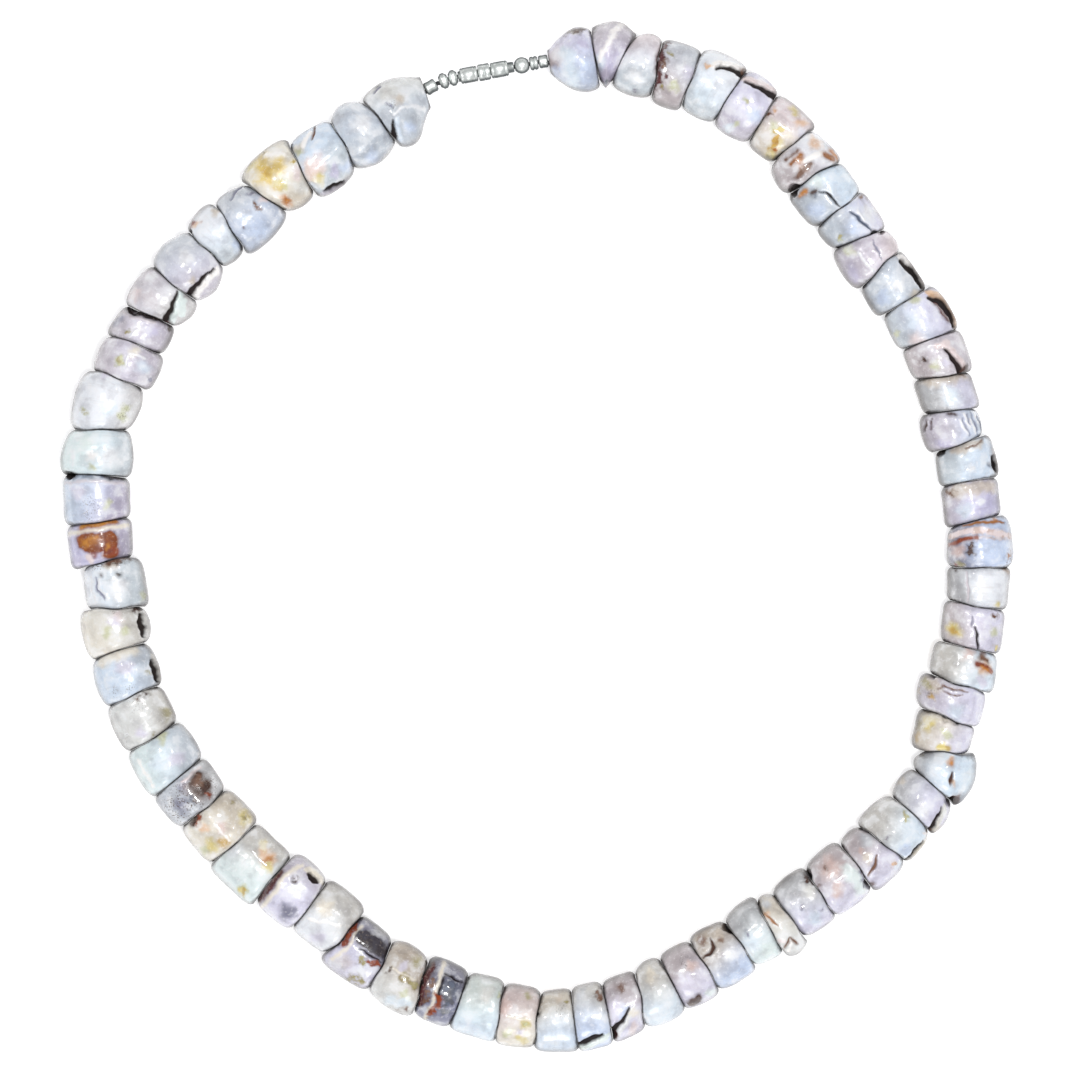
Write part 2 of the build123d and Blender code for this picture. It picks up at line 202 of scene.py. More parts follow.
# What each bead looks like, clockwise from the clasp: the tones of its inner and outer side, then its
# marks. A mark is its kind (left out where it is that of the mark before), its tone, its width in mm,
# and pairs of u and v along it. u runs across a bead from -1 at its inner side to 1 at its outer side,
# v along it from the joint with the bead before (0) to the next (1).
# Where the dark tone lies along a joint (v near 0 or 1) or inside a crack, it is partly dirt and partly
# painted shade of the gaps and hollows, and so is the brown patch at the clasp end of bead 1.
beadChart = [
    # 1 to 6
    "blue lavender, patch brown 2.6 -.05 .02, mauve 2.8 .1 .16, blue 3.6 -.5 .75, ice 2.4 .1 .42 -.9 .42, "
    "stain umber .8 .82 .45 .86 .95, patch olive 1.6 .85 .6, violet 1.6 .4 .8",
    "violet mauve, patch sky 2 -.35 .12, ridge milk .6 -.3 .1 .1 .36 .5 .5 1 .6, patch violet 2.8 -.3 .65, "
    "stain steel .5 -.92 .1 -.9 .5",
    "ice pink, patch white 2.2 -.5 .5, stain slate .3 -.87 .6, band maroon .3 -.2 1 .9 1",
    "mauve grey, stain maroon .8 -.75 .02 -.3 .07 .3 .05 .9 .05, maroon .6 -.15 .26, "
    "brown .5 .12 .2 .25 .14, olive .35 .45 .27, olive .4 -.55 .24, patch moss 1.8 -.4 .62, "
    "white 1.4 .2 .65, lavender 2 .1 .9",
    "ice white, slit milk .8 .42 .42 .56 .48 .64 .7 .7 .98, band brown .7 .75 .94 .95 1, "
    "patch ice 3 -.4 .4, stain peach .4 .4 .22",
    "lavender lavender, slit pink 1 .54 .12 .6 .35 .64 .65 .7 .98, patch moss .8 .06 .38, moss .9 -.7 .53, "
    "stain moss .4 .06 .4, patch blue 2 -.2 .8, violet 1.6 -.15 .2, ice 1.4 -.85 .4",
    # 7 to 12
    "cream pink, patch moss 2 -.1 .36, yellow 2.2 -.42 .7, stain yellow .8 -.1 .42 0 .5, "
    "patch yellow 2 -.8 .82, stain orange .7 -.6 .8, olive .7 -.85 .82, patch cream 1.5 .02 .75, "
    "yellow 1.4 .72 .48, peach 1.4 .58 .75, lavender 1.8 .3 1, stain brown .4 .05 .02 .15 .1, "
    "peach .45 .3 .12, ochre .9 -.5 .66 -.3 .6",
    "mauve white, band brown .3 -.42 .22 0 .2, tan .6 -.4 .4 0 .36, patch orange 1.8 -.1 .42, "
    "band brown .6 -.5 .76 .05 .72, tan .9 .6 .68 .72 .86, patch tan 1.4 -.2 .74, "
    "band orange .6 .86 .7 .84 .95, patch peach 2 .6 .3, ridge milk .9 0 .56 .5 .62, chip dark 1.6 -.85 1",
    "sky ice, band orange .5 -.72 .17 -.5 .17, patch steel .9 -.3 .36, band umber .35 -.45 .3 -.25 .33, "
    "crack dark .3 -.22 .4 -.08 .5 -.02 .7 0 .97, patch blue 2.6 -.6 .7, mint 2 -.1 .15, "
    "chip dark 1.5 -.85 0",
    "sky lavender, crack steel .45 .14 .2 .2 .4 .26 .69 .34 .94, ridge white .5 .3 .3 .36 .6, "
    "patch blue 2.4 -.1 .6, stain moss .6 -.58 .73, brown .5 .7 .06 .88 .12, patch white 2.2 .6 .5, "
    "chip dark 1 .45 1",
    "lavender pink, crack slate .22 .26 .2 .2 .6 .16 .88, patch moss 1.6 -.5 .1, violet 2 -.8 .65, "
    "ridge white .4 -.32 .3 -.28 .9, chip dark 1 .7 0",
    "sky grey, fold milk .85 .56 .18 .7 .42 .76 .68 .72 .92, patch blue 2.4 -.5 .6, white 1.6 .1 .6, "
    "cream 1.6 .4 1",
    # 13 to 18
    "ice lavender, band maroon 1 .66 .3 .72 .5 .74 .75, fold peach .9 .5 .16 .76 .34 .86 .52 .87 .7 .8 .92, "
    "patch moss 1.4 .1 .08, moss 1 -.8 .6, sky 2 -.3 .45, pink 2.4 -.4 .9",
    "mauve mauve, pit umber .8 -.49 .49, slit pink .9 .2 .34 .31 .5 .44 .92, band maroon .7 .6 .96, "
    "ridge pink .9 .05 .22 .35 .2, patch moss 1.6 -.25 .68, stain umber .8 .5 .92 .7 .94, "
    "patch lavender 1.2 .1 .7",
    "grey lavender, patch beige 2.2 -.5 .04 .6 0, brown 1.2 .6 0, ice 3 0 .6",
    "lavender sky, crack umber .2 -.84 .42 -.72 .14, umber .16 -.68 .4 -.58 .14, "
    "band umber .35 -.05 .06 .1 .12, ridge milk .2 .22 .3 .32 .8, milk .25 .38 .1 .46 .6, "
    "milk .2 .52 .32 .6 .85, milk .25 .7 .1 .74 .5, crack slate .12 .29 .25 .4 .85, "
    "slate .14 .46 .15 .5 .5, slate .12 .6 .12 .68 .9, slate .12 .78 .3 .84 .8, patch violet 2 -.4 .85",
    "ice sky, patch beige 1.6 -.3 .08 .4 .12, fold white .55 .78 .5 .82 .68 .78 .86, "
    "patch steel 1.3 .72 .7, crack brown .16 0 .14 .3 .16 .6 .06, patch sky 1.8 .4 .6, chip dark 1.2 -.8 0, "
    "patch white 1.4 .05 .7",
    "lavender violet, patch beige 2.2 -.5 .16 .6 .2, stain brown .5 -.75 .1 -.6 .18, patch sky 2.4 -.3 .7, "
    "white 1.2 .2 .55",
    # 19 to 24
    "slate blue, crack tan .35 -.55 .03 .1 .06 .75 .14, band pink .9 -.95 .2 -.3 .17 .4 .3 .95 .42, "
    "patch orange .9 .5 .08, band rust .6 -.95 .42 -.6 .34 -.15 .34, mauve .3 -.1 .36 .8 .46, "
    "stain umber .8 -.36 .48 -.3 .66, patch blue 3.4 .4 .65, blush 2.2 -.72 .6, stain tan .6 .85 .8, "
    "specks dark 1.6 .8 .95, patch olive 1.2 -.7 .95, stain rust .4 -.85 1",
    "grey white, crack mauve .25 -.46 .08 -.38 .5 -.33 .95, stain umber .5 -.75 .02, patch peach 1.4 .85 0, "
    "yellow 1 .55 .88, white 2.6 .1 .5",
    "mauve lavender, patch yellow 2.2 -.6 .66, ochre 1 -.62 .72, crack slate .2 -.14 .22 -.1 .48, "
    "fold white .4 0 .48 .11 .74 .19 1, stain yellow .7 .75 .9, patch moss 1.6 .6 .52, "
    "stain brown .35 .5 .14 .62 .16, patch lavender 2 .15 .35",
    "stone ice, patch blush 2 0 .14, brown 1.4 .46 .1, band brown .5 .42 .16 .64 .22, "
    "patch peach 2.2 .55 .4, band rust .75 .3 .34 .55 .38 .8 .46, tinge orange .7 .4 .42 .78 .54, "
    "patch lavender 1.6 .55 .75",
    "lavender lavender, patch beige 3 -.75 .25, olive 1.6 -.9 .3, "
    "crack brown .2 -.56 .32 -.4 .18 0 .12 .34 .14, patch sky 2.6 .1 .75, "
    "crack brown .16 -.4 .34 -.1 .3 .2 .24, patch ochre 1 -.66 .6, specks olive 3 -.75 .5, "
    "chip dark 1.1 -.8 0",
    "cream lavender, patch olive 2 -.95 .5, specks olive 2.4 -.8 .5, patch yellow 1.8 -.6 .3, "
    "yellow 1.4 0 .88, band yellow .8 -.1 .88 .16 .88, patch moss 1.6 0 .45, chip dark .7 -.2 .05, "
    "dark .6 .22 .05, patch ochre 1.2 -.85 .7",
    # 25 to 30
    "grey ice, band orange .6 .08 .24, patch peach 1.2 .06 .2, crack umber .5 .2 .45 .3 .75, "
    "patch peach .9 .34 .66, band maroon 1.5 .7 .94 .76 1, dark .8 .74 .98, chip dark 1.4 .7 1, "
    "stain olive .5 -.92 .15, patch ice 2.6 .7 .5",
    "grey lavender, slit stone .6 .56 .3 .6 .56 .68 .95, stain brown .6 .7 .98, patch white 2.4 .1 .75, "
    "chip dark 1.2 .72 0, patch beige 1.2 -.9 .5, cream 1.6 .85 .8",
    "stone ice, stain moss .5 -.15 .14 0 .18, band olive .25 -.05 .16, patch peach .9 .8 .08, "
    "fold cream .3 .82 .28 .84 .7 .86 1, stain slate .25 -.05 .84, patch blue 2 .6 .8",
    "mauve lavender, crack brown .45 .05 .36 .2 .55 .32 .9, patch beige 1.6 -.1 .65, band maroon .8 .62 1, "
    "patch grey 2.4 -.5 .2, stain peach .5 .65 .21, patch ice 1.6 .8 .1, blush 1 -.35 .6",
    "mauve lavender, patch blush 3.2 -.5 .5, brown .9 -.6 .6, chip dark 1.3 .66 0, "
    "patch mint 2 -.1 .22 .6 .18, blush 2 .15 .65, stain slate .2 .2 .04 .6 .06, brown .25 -.32 .95, "
    "chip dark 1.2 -.8 1",
    "grey lavender, stain umber .5 -.75 .04 -.5 .08, patch sky 2.4 .5 .5, stone 2 -.3 .2, "
    "stain slate .25 -.05 .65, slate .2 .4 .2",
    # 31 to 36
    "cream stone, patch peach 1.2 -.5 .85, crack tan .22 -.6 .9 -.4 .76 -.1 .68, brown .3 .4 .5 .6 .92, "
    "brown .3 .42 .46 .7 .34, ridge milk .4 .5 .5 .75 .85, patch pink 1 .3 .85, grey 1.4 -.85 .6",
    "grey mint, patch ice 3 .1 .75, mint 2.4 .6 .4, stain slate .25 -.2 .65",
    "beige blue, crack umber .5 -.68 .52 -.42 .56 -.33 .73 -.28 .93, patch beige 1.8 -.65 .3, "
    "brown 1.4 -.72 .75, brown .8 -.53 .32, white 2 0 .35, blue 2.6 .8 .7, chip dark 1.3 -.75 0",
    "mauve lavender, band umber 1.4 .7 .6 .74 .78, patch mint 1.6 .7 .2, blush 1.6 -.28 .3, "
    "specks brown 3.4 -.5 .4, patch lavender 3 .1 .65",
    "stone ice, patch cream 2.2 -.6 .5, ice 2.8 .6 .6",
    "mauve lavender, slit white .85 .02 .4 .15 .46 .31 .61 .41 .8 .56 1, chip dark 1.1 .62 1, "
    "patch blue 1.8 .05 .6, lavender 2.4 -.15 .8, cream 1.6 .2 .25, brown 1.4 -.65 .5, "
    "band maroon .9 .6 .95 .75 .98, patch pink 1.8 .7 .35",
    # 37 to 42
    "stone blue, fold mint .8 .52 .26 .58 .48 .66 .82 .72 .98, stain brown .6 -.75 .14 -.6 .16, "
    "patch blue 2.2 .25 .55, grey 1.6 -.8 .75",
    "cream sky, specks olive 2.6 -.4 .3, patch beige 1.6 -.75 .4, chip dark .8 -.3 1, patch sky 3 .6 .5, "
    "stain olive .4 -.6 .16",
    "pink cream, ridge cream .3 0 .1 -.04 .78, patch yellow 1.5 .13 .3, stain moss .6 .13 .3, "
    "patch yellow 1.5 .6 .36, olive 1.1 -.7 .3, lavender 1.2 .36 .4, moss 1.4 .45 .74, blush 2.4 -.3 .9",
    "mint ice, patch stone 2.6 -.5 .4, sky 2.4 .6 .6, stain moss .4 -.6 .06",
    "slate slate, patch steel 3 -.3 .3, crack dark .3 -.62 .1 -.64 .55, stain steel 1.2 -.4 .3 .1 .28, "
    "steel .7 .4 .15 .4 .3, rust .9 .05 .5 .35 .5 .65 .57, ridge cream .55 -.9 .66 -.2 .6 .5 .64 .95 .7, "
    "band maroon 1 -.7 .9 .5 .95, crack dark .3 -.6 .54 .3 .5, stain brown .6 -.3 .76 .1 .78 .35 .86, "
    "dark .9 -.6 1 .6 1, maroon .5 .1 .95 .4 .95",
    "beige stone, patch olive 1.7 -.73 .26, lavender 1.7 -.4 .55, ridge cream .3 -.24 .15 -.2 .8, "
    "stain olive .9 -.1 .12 -.12 .3 -.08 .48, patch ice 1.7 .5 .2 .75 .55, stain brown .3 .75 .12, "
    "brown .25 .84 .28, umber .25 -.1 .8, patch moss 1.4 .3 .28",
    # 43 to 48
    "slate lavender, patch white 2.4 .6 .7, stain olive .5 .6 .2 .8 .25, band coal 2.4 -.5 .15 -.46 .66, "
    "specks dark 2.6 -.35 .6, patch coal 2.4 -.9 .4, stain rust .6 -.08 .1 -.02 .25, "
    "olive .7 .05 .42 .2 .42, patch white 1.8 .4 .25, stain olive .5 .7 .35 .85 .42, "
    "patch mauve 2.4 .45 .65, stain rust .9 -.6 .97 -.3 .93 0 .95, band dark .6 -.9 1 -.2 1.01 .5 1.03, "
    "ridge cream .5 -.7 .84 0 .82 .6 .84, crack dark .3 -.2 .05 -.15 .6",
    "stone white, ridge milk .4 -.14 .22 -.04 .43 .21 .7 .3 .85, patch cream 2.6 -.3 .7, lavender 2.4 .6 .4",
    "lavender lavender, patch slate 2.4 .5 .3, fold cream .8 -.78 .18 -.76 .45, pit umber .7 -.4 .62, "
    "ridge cream .6 -.85 .7 -.3 .86 .2 .77 .95 .82, band maroon 1.2 -.3 1 .1 .95 .5 .94 .95 1, "
    "dark .5 .2 1.02 .95 1.03, patch slate 2 .4 .3, white 2.2 -.2 .45",
    "stone mint, patch peach 2 -.5 .26 -.55 .5, orange 1 -.5 .3, yellow 1.6 -.3 .2, yellow 1.4 -.68 .58, "
    "stain yellow .9 .7 .27 .8 .27, patch moss 1.6 .7 .28, grey 2.4 0 .95",
    "cream cream, patch yellow 2 -.8 .25, stain olive .7 -.82 .24, patch ochre 1.8 .16 .16, yellow 2 .5 .3, "
    "stain olive .5 -.86 .7, patch moss 1.6 .8 .3, blush 1.7 -.14 .45, band umber .9 .3 .95 .5 .9, "
    "stain rust .5 .2 .96 .5 .86, ridge milk .35 -.02 .15 0 .6, patch peach 1.6 .3 .7",
    "grey grey, patch slate 2.6 .35 .4, slate 2.2 -.1 .75, specks dark 6 .2 .5 .6 .4, dark 3 0 .3, "
    "dark 4 -.6 .4, patch brown 3.6 -.35 .5, band umber 1.2 -.62 .42 -.36 .36 -.28 .66 -.56 .72, "
    "umber 1.3 -.46 .5, tinge brown 1.2 -.56 .6 -.4 .66, ridge pink .3 -.75 .86 -.1 .86, "
    "stain rust .7 -.45 .2 -.42 .36, patch steel 1.4 .05 .4, white 1.2 .55 .65",
    # 49 to 54
    "sky mint, patch lavender 2.4 -.35 .35, ridge milk .5 .68 .18 .68 .75, patch moss 1.8 -.3 .92, "
    "ice 2.4 .2 .5",
    "stone stone, patch olive 1.8 -.8 .3, specks olive 4 -.1 .85, patch lavender 1.6 .15 .25, "
    "stain umber .5 -.48 .88, brown .6 -.15 .9, specks olive 2 .7 .3, stain olive .4 -.12 .06",
    "sky sky, fold stone .55 -.84 .08 -.87 .6, specks slate 2.4 0 .15, slate 2.4 .4 .2, "
    "patch cream 2 -.5 .93 .5 .93, lavender 2.6 -.1 .6, stain olive .4 -.7 .3",
    "stone cream, fold stone .7 -.82 .15 -.84 .5 -.86 .8, patch moss 1.4 -.38 .42, pink 2 -.2 .8, "
    "moss 1.6 .2 .46, stain umber 1 -.82 .94, specks brown 3 -.2 1, patch lavender 1.6 -.1 .7",
    "ice white, band dark .4 -.32 .68 -.22 .68, umber .3 .3 .74, stain brown .9 -.5 1 0 .98, "
    "patch white 3 -.2 .4, specks dark 1.6 -.5 .95 .6 .98, patch beige 1.4 0 1, "
    "ridge white .4 .16 .2 .38 .42 .36 .66, crack slate .25 .26 .2 .48 .42 .46 .7, "
    "ridge white .4 .54 .16 .64 .42 .6 .72, patch moss 1 -.85 .2, beige 2 -.05 .93",
    "violet violet, band amber 2.5 -.36 .22 -.34 .56 .42 .6, amber 2.6 -.3 .4 .3 .52, patch rust 1.8 .2 .3, "
    "violet 1.6 .7 .2, tinge honey 1.6 .1 .58 .4 .56, rust 1.5 -.52 .2 -.1 .24, umber .7 -.66 .5 -.6 .7, "
    "honey .8 -.25 .3 -.24 .4, ridge cream .6 -.9 .82 0 .84 .9 .82, band honey .7 -.55 .97 .5 .95, "
    "ridge pink .9 .25 .08 .35 .2, pink .4 -.15 .12 -.12 .3",
    # 55 to 60
    "violet sky, specks slate 4.5 .1 .3, patch moss 1.3 -.42 .35, band coal .9 -.4 1 -.9 .98, "
    "ridge mauve .4 -.9 .85 0 .87 .9 .83, patch steel 1.2 -.5 1 .6 1, lavender 2.4 .5 .65, "
    "band coal 1.1 .85 1, chip dark 1.1 .8 1",
    "ice mint, patch white 3.4 -.5 .4, mint 2.6 .3 .7, milk 1.8 .1 .4, chip dark 1.2 .8 0, "
    "ridge white .4 .64 .2 .66 .5, patch moss 1 .05 .14",
    "white white, specks olive 1.8 -.62 .25 -.6 .5, patch moss 1.3 -.62 .25 -.6 .5, stain moss .5 .55 .3, "
    "patch ice 2 -.2 .4, lavender 1.6 .3 1",
    "lavender mauve, patch sky 2.2 -.55 .5, moss 1.5 .14 .42, stain moss .6 .14 .35 .16 .5, "
    "ridge white .25 -.05 .3 -.03 .74 -.5 .76, patch cream 1.6 -.1 .8, stain slate .4 -.88 .35",
    "lavender mauve, patch violet 2.2 -.3 .55, stain olive .45 .3 .26, ridge white .22 .12 .12 .1 .42, "
    "patch slate 1.8 .75 .5, chip dark 1.2 .5 1, band dark .8 .85 .95 .5 .9 .1 .96 -.5 1.02, "
    "ridge mauve .4 .8 .78 .3 .78 -.3 .86, stain umber 1 -.8 .98, patch white 1 -.25 .3",
    "white mauve, slit mint .8 -.3 .95 -.46 .5 -.55 .05, ridge mint .9 -.8 .4 -.6 .8, "
    "band maroon .8 -.62 0, patch mauve 3 .2 .4, white 1.4 -.1 .9, white 1.4 .6 .8, pink 2 .7 .3",
    # 61 to 67
    "lavender grey, slit milk .75 -.62 .82 -.6 .46 -.62 .04, chip dark .8 -.66 0, patch beige 1.2 -.42 .3, "
    "specks slate 1.6 -.92 .4, patch white 2.4 .2 .6",
    "ice white, stain rust .5 .72 .2 .72 .32, patch peach .9 .62 .3, blue 2 -.7 .9, chip dark .9 .7 0, "
    "patch beige 1.4 .5 .92",
    "blue grey, stain brown .5 -.12 .75 .04 .78, patch slate .8 .4 .86, "
    "crack slate .25 .63 .38 .75 .64 .83 .96, patch blue 2.8 -.6 .4, pink 1.6 0 1, stain slate .25 -.3 .25",
    "cream cream, patch orange 1.8 -.65 .25, stain orange .6 -.68 .26, patch moss 1.6 -.2 .5, "
    "peach 1.2 -.15 .33, gold 3 .38 .34, gold 1.3 .2 .3 .6 .42, ochre .8 .3 .36 .45 .4 .35 .66, "
    "gold 2.6 .3 .62, gold 2.4 .8 .45, yellow 2 -.15 .4, yellow 1.4 .9 .25, stain olive .4 .95 .55, "
    "patch stone 2.6 -.6 .78, stain yellow .5 .15 .96, patch pink 1.8 -.2 .9, ridge milk .5 .5 .85 .85 .55",
    "ice sky, patch peach 3 -.2 .22, pink 3 -.1 .3, yellow 1.6 -.55 .22, cream 2 .6 .12, moss 1.2 .5 .1, "
    "fold lavender .4 -.85 .18 -.92 .4 -.95 .66, crack brown .35 .6 .48 .8 .6 .93 .65, "
    "ridge milk .7 .6 .25 .8 .5, patch violet 1.8 -.6 .6, blue 2.2 -.7 .88",
    "sky grey, patch blue 2 -.85 .4, white 3.2 .1 .6, specks slate 1.4 .7 .25",
    "sky stone, slit sky .75 -.22 .2 -.4 .1 -.66 0, patch beige 2 .2 .5, stone 3 .6 .4, "
    "ridge white .45 -.08 .26 -.05 .45 -.2 .68 -.45 .85, patch blue 2 -.65 .4, specks slate 2.4 .2 .3, "
    "crack slate .3 .85 .2 .9 .35, slate .25 .1 .3 .35 .26, ridge white .3 0 .95 .3 .85",
]

beadForm = {
    "around": 110,                # points round a bead
    "along": 34,                  # rings from joint to joint
    "crowdEnds": 0.38,            # how far the rings crowd towards the joints
    "crowdTop": 0.35,             # how far the points crowd towards the top, where the marks are
    "faceRings": (0.93, 0.82, 0.66, 0.48, 0.3, 0.1),
    "holeRings": (0.67, 0.33),
    "holeRadius": 0.9,
    "rimDrop": 0.38, "rimReach": 1.0,            # worn edge between a bead's side and its end face
    "endDrop": 0.25, "endReach": 0.7,            # the cone-shaped ends beside the clasp
    "cones": {1: (1.8, 1.25, -0.12), 67: (2.2, 1.0, -0.08)},   # their radius as it grows from the end
    "closeUp": 0.09,              # how much closer the beads are pushed than the drilled solids stand
    "jointWave": 0.34,            # two neighbours wear to the same wave
    "dishDepth": 0.45, "dishShare": 0.72, "whorlDepth": 0.06,
    "halfWidth": 5.35,            # what u = 1 measures
    "lumps": 0.16, "lumpWaves": (1, 2, 3, 4, 6),  # uneven wear
    "floorGap": 0.003,
    "castAngles": 48, "castDistance": 9.0, "harmonics": 5,
    "sideAngle": math.radians(66), "wrap": 0.42,  # past it the chart's edge goes on round the flank
    "jointDirtAndShade": (0.2, 1.1),          # width of the darkened joint on top, and how much wider it is below: partly dirt, partly painted shade of the gap
    # painted shade on each bead's inner side and painted light on its outer side
    "innerPaintedShade": (0.77, 0.75, 0.735), "outerPaintedLight": (0.98, 1.0, 1.03),
}

markForm = {
    "steady": ("crack", "slit", "fold", "ridge", "pit", "band"),       # kinds whose line hardly wanders
    "wander": 0.35,
    "patchReach": 0.62, "patchStrength": 0.85,
    "chipPush": 0.4, "chipDepth": 0.34, "chipDark": 0.55,
    "cutStart": 0.1, "cutShare": 0.55, "cutDeepest": 0.5, "pitDepth": 0.38,
    "lipHeight": 0.17, "ridgeHeight": 0.13,
}


def readMarks(line):
    # a line of the chart as two tones and a list of marks
    tones, *marks = [part.split() for part in line.split(", ")]
    read = []
    for words in marks:
        kind = read[-1][0] if words[0] in shades else words.pop(0)
        read.append((kind, words[0], *map(float, words[1:])))
    return (*tones, read)


def between(first, last, share):
    # a mix of two colours or places
    share = np.asarray(share)[..., None]
    return first * (1 - share) + last * share


def unit(vectors):
    return vectors / np.linalg.norm(vectors, axis=-1, keepdims=True)


def midway(values):
    return (values.min(axis=0) + values.max(axis=0)) / 2


def softStep(value):
    value = np.clip(value, 0, 1)
    return value * value * (3 - 2 * value)


def spun(outline, steps, closed=True):
    # spins an outline, given as radius and height, round the Z axis
    bm = bmesh.new()
    corners = [bm.verts.new((radius, 0, height)) for radius, height in outline]
    chain = list(zip(corners, corners[1:]))
    if closed:
        chain.append((corners[-1], corners[0]))
    edges = [bm.edges.new(pair) for pair in chain]
    bmesh.ops.spin(bm, geom=corners + edges, cent=(0, 0, 0), axis=(0, 0, 1), angle=math.tau,
                   steps=steps, use_merge=True, use_duplicate=False)
    bmesh.ops.remove_doubles(bm, verts=bm.verts, dist=0.0005)
    bmesh.ops.recalc_face_normals(bm, faces=bm.faces)
    return bm


def toMesh(bm, name, smooth=True):
    for face in bm.faces:
        face.smooth = smooth
    mesh = bpy.data.meshes.new(name)
    bm.to_mesh(mesh)
    bm.free()
    return mesh


def addPiece(name, mesh, material, node):
    mesh.materials.append(material)
    piece = newObject(name, mesh)
    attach(piece, "root")
    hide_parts(node)
    return piece


def blankBead(s):
    # a closed ring of rings: side, far face, hole and near face, in shares of a bead
    share = np.arange(s["along"] + 1) / s["along"]
    crowd = s["crowdEnds"]
    stations = (1 - crowd) * share + crowd * (0.5 - 0.5 * np.cos(math.pi * share))
    hole = s["faceRings"][-1]
    outline = [(1.0, z) for z in stations] + [(x, 1.0) for x in s["faceRings"]]
    outline += [(hole, z) for z in s["holeRings"]] + [(x, 0.0) for x in reversed(s["faceRings"])]
    mesh = toMesh(spun(outline, s["around"]), "blankBead")
    x, y, t = np.array([v.co for v in mesh.vertices]).T
    turn, reach = np.arctan2(y, x), np.hypot(x, y)
    side, inHole = reach > 0.999, reach < hole + 0.001
    return SimpleNamespace(
        mesh=mesh, stations=stations, t=t, side=side, inHole=inHole,
        angle=turn - s["crowdTop"] * np.sin(turn),       # 0 is the top of the bead
        relative=(reach - hole) / (1 - hole),            # 0 at the hole, 1 at the rim
        onFace=~side & ((t < 1e-6) | (t > 1 - 1e-6)),
        row=np.abs(t[:, None] - stations[None, :]).argmin(axis=1))


def meshArrays(node):
    # a node's points in mm with doubles merged, and its triangles
    bm = bmesh.new()
    bm.from_mesh(nodes[node].data)
    bmesh.ops.remove_doubles(bm, verts=bm.verts, dist=1e-7)
    bmesh.ops.triangulate(bm, faces=bm.faces)
    bm.verts.index_update()
    points = np.array([v.co for v in bm.verts]) / mm
    faces = np.array([[v.index for v in f.verts] for f in bm.faces])
    bm.free()
    return points, faces


def islands(points, faces):
    # the separate solids of a node
    label = np.arange(len(points))
    while True:
        lowest = label[faces].min(axis=1)
        new = label.copy()
        for corner in range(3):
            np.minimum.at(new, faces[:, corner], lowest)
        new = new[new]
        if (new == label).all():
            break
        label = new
    for one in np.unique(label):
        used = np.flatnonzero(label == one)
        renumber = np.full(len(points), -1)
        renumber[used] = np.arange(len(used))
        yield points[used], renumber[faces[label[faces[:, 0]] == one]]


def flatEnds(points, faces):
    # the two widest flat faces of a solid: the outward normal and the middle of each
    a, b, c = (points[faces[:, i]] for i in range(3))
    cross = np.cross(b - a, c - a)
    area = np.linalg.norm(cross, axis=1) / 2 + 1e-12
    normal = cross / (2 * area[:, None])
    offset = (normal * a).sum(axis=1)
    groups = {}
    for n, d, size in zip(np.round(normal, 2), np.round(offset * 2) / 2, area):
        key = (*n, d)
        groups[key] = groups.get(key, 0) + size
    ends = []
    for key in sorted(groups, key=groups.get)[-2:]:
        near = (np.abs(normal - key[:3]).max(axis=1) < 0.006) & (np.abs(offset - key[3]) < 0.3)
        n = unit((normal[near] * area[near, None]).sum(axis=0))
        d = (offset[near] * area[near]).sum() / area[near].sum()
        on = points[np.abs(points @ n - d) < 0.01]
        side = unit(np.cross(n, (0, 0, 1)))
        middle = on.mean(axis=0)
        middle += side * (midway(on @ side) - middle @ side)
        ends.append((n, middle))
    return ends


def acrossAxis(normal, outward):
    # the level direction across an end face, towards the necklace's outside
    axis = unit(np.cross(normal, (0, 0, 1)))
    return axis if axis @ outward > 0 else -axis


def holeOnPlane(points, normal, middle, reach=14, ring=12):
    # where the thread's line crosses an end face, from the nearest ring of its points on either side
    close = points[np.linalg.norm(points - middle, axis=1) < reach]
    off = (close - middle) @ normal
    before, after = close[off < 0], close[off >= 0]
    a = before[np.argsort(-((before - middle) @ normal))[:ring]].mean(axis=0)
    b = after[np.argsort((after - middle) @ normal)[:ring]].mean(axis=0)
    point = a + (b - a) * (((middle - a) @ normal) / ((b - a) @ normal))
    point[2] = midway(points[:, 2])
    return point


def findBeads():
    # every shell bead of the two strings, clockwise from the clasp
    found = []
    threadPoints = meshArrays("thread")[0]
    for node in ("shell_string_right", "shell_string_left"):
        for points, faces in islands(*meshArrays(node)):
            middle = midway(points)
            outward = unit(np.array((middle[0], middle[1], 0)))
            clockwise = np.array((outward[1], -outward[0], 0))
            ends = sorted(flatEnds(points, faces), key=lambda end: end[0] @ clockwise)
            found.append(SimpleNamespace(
                node=node, ends=ends, across=[acrossAxis(normal, outward) for normal, middle in ends],
                turn=(math.degrees(math.atan2(middle[0], middle[1])) - 1) % 360,
                tree=BVHTree.FromPolygons([Vector(p) for p in points], [list(map(int, f)) for f in faces]),
                holes=[holeOnPlane(threadPoints, *end) for end in ends]))
    return sorted(found, key=lambda bead: bead.turn)


def readRadii(bead, stations, s):
    # how far the solid reaches from its hole's line, station by station, as smooth rounds
    angles = np.arange(s["castAngles"]) * math.tau / s["castAngles"]
    radii = np.zeros((len(stations), len(angles)))
    for row, t in enumerate(np.clip(stations, 0.006, 0.994)):
        centre, across = between(*bead.holes, t), unit(between(*bead.across, t))
        for column, angle in enumerate(angles):
            way = across * math.sin(angle) + np.array((0, 0, math.cos(angle)))
            hit = bead.tree.ray_cast(Vector(centre + way * s["castDistance"]), Vector(-way))
            radii[row, column] = s["castDistance"] - hit[3] if hit[0] else np.nan
        gaps = np.isnan(radii[row])
        radii[row, gaps] = np.nanmean(radii[row])
    waves = np.fft.rfft(radii, axis=1)
    return waves[:, :s["harmonics"] + 1] / s["castAngles"]


def radiusAt(waves, angle, row):
    total = waves[row, 0].real.copy()
    for k in range(1, waves.shape[1]):
        total += 2 * (waves[row, k] * np.exp(1j * k * angle)).real
    return total


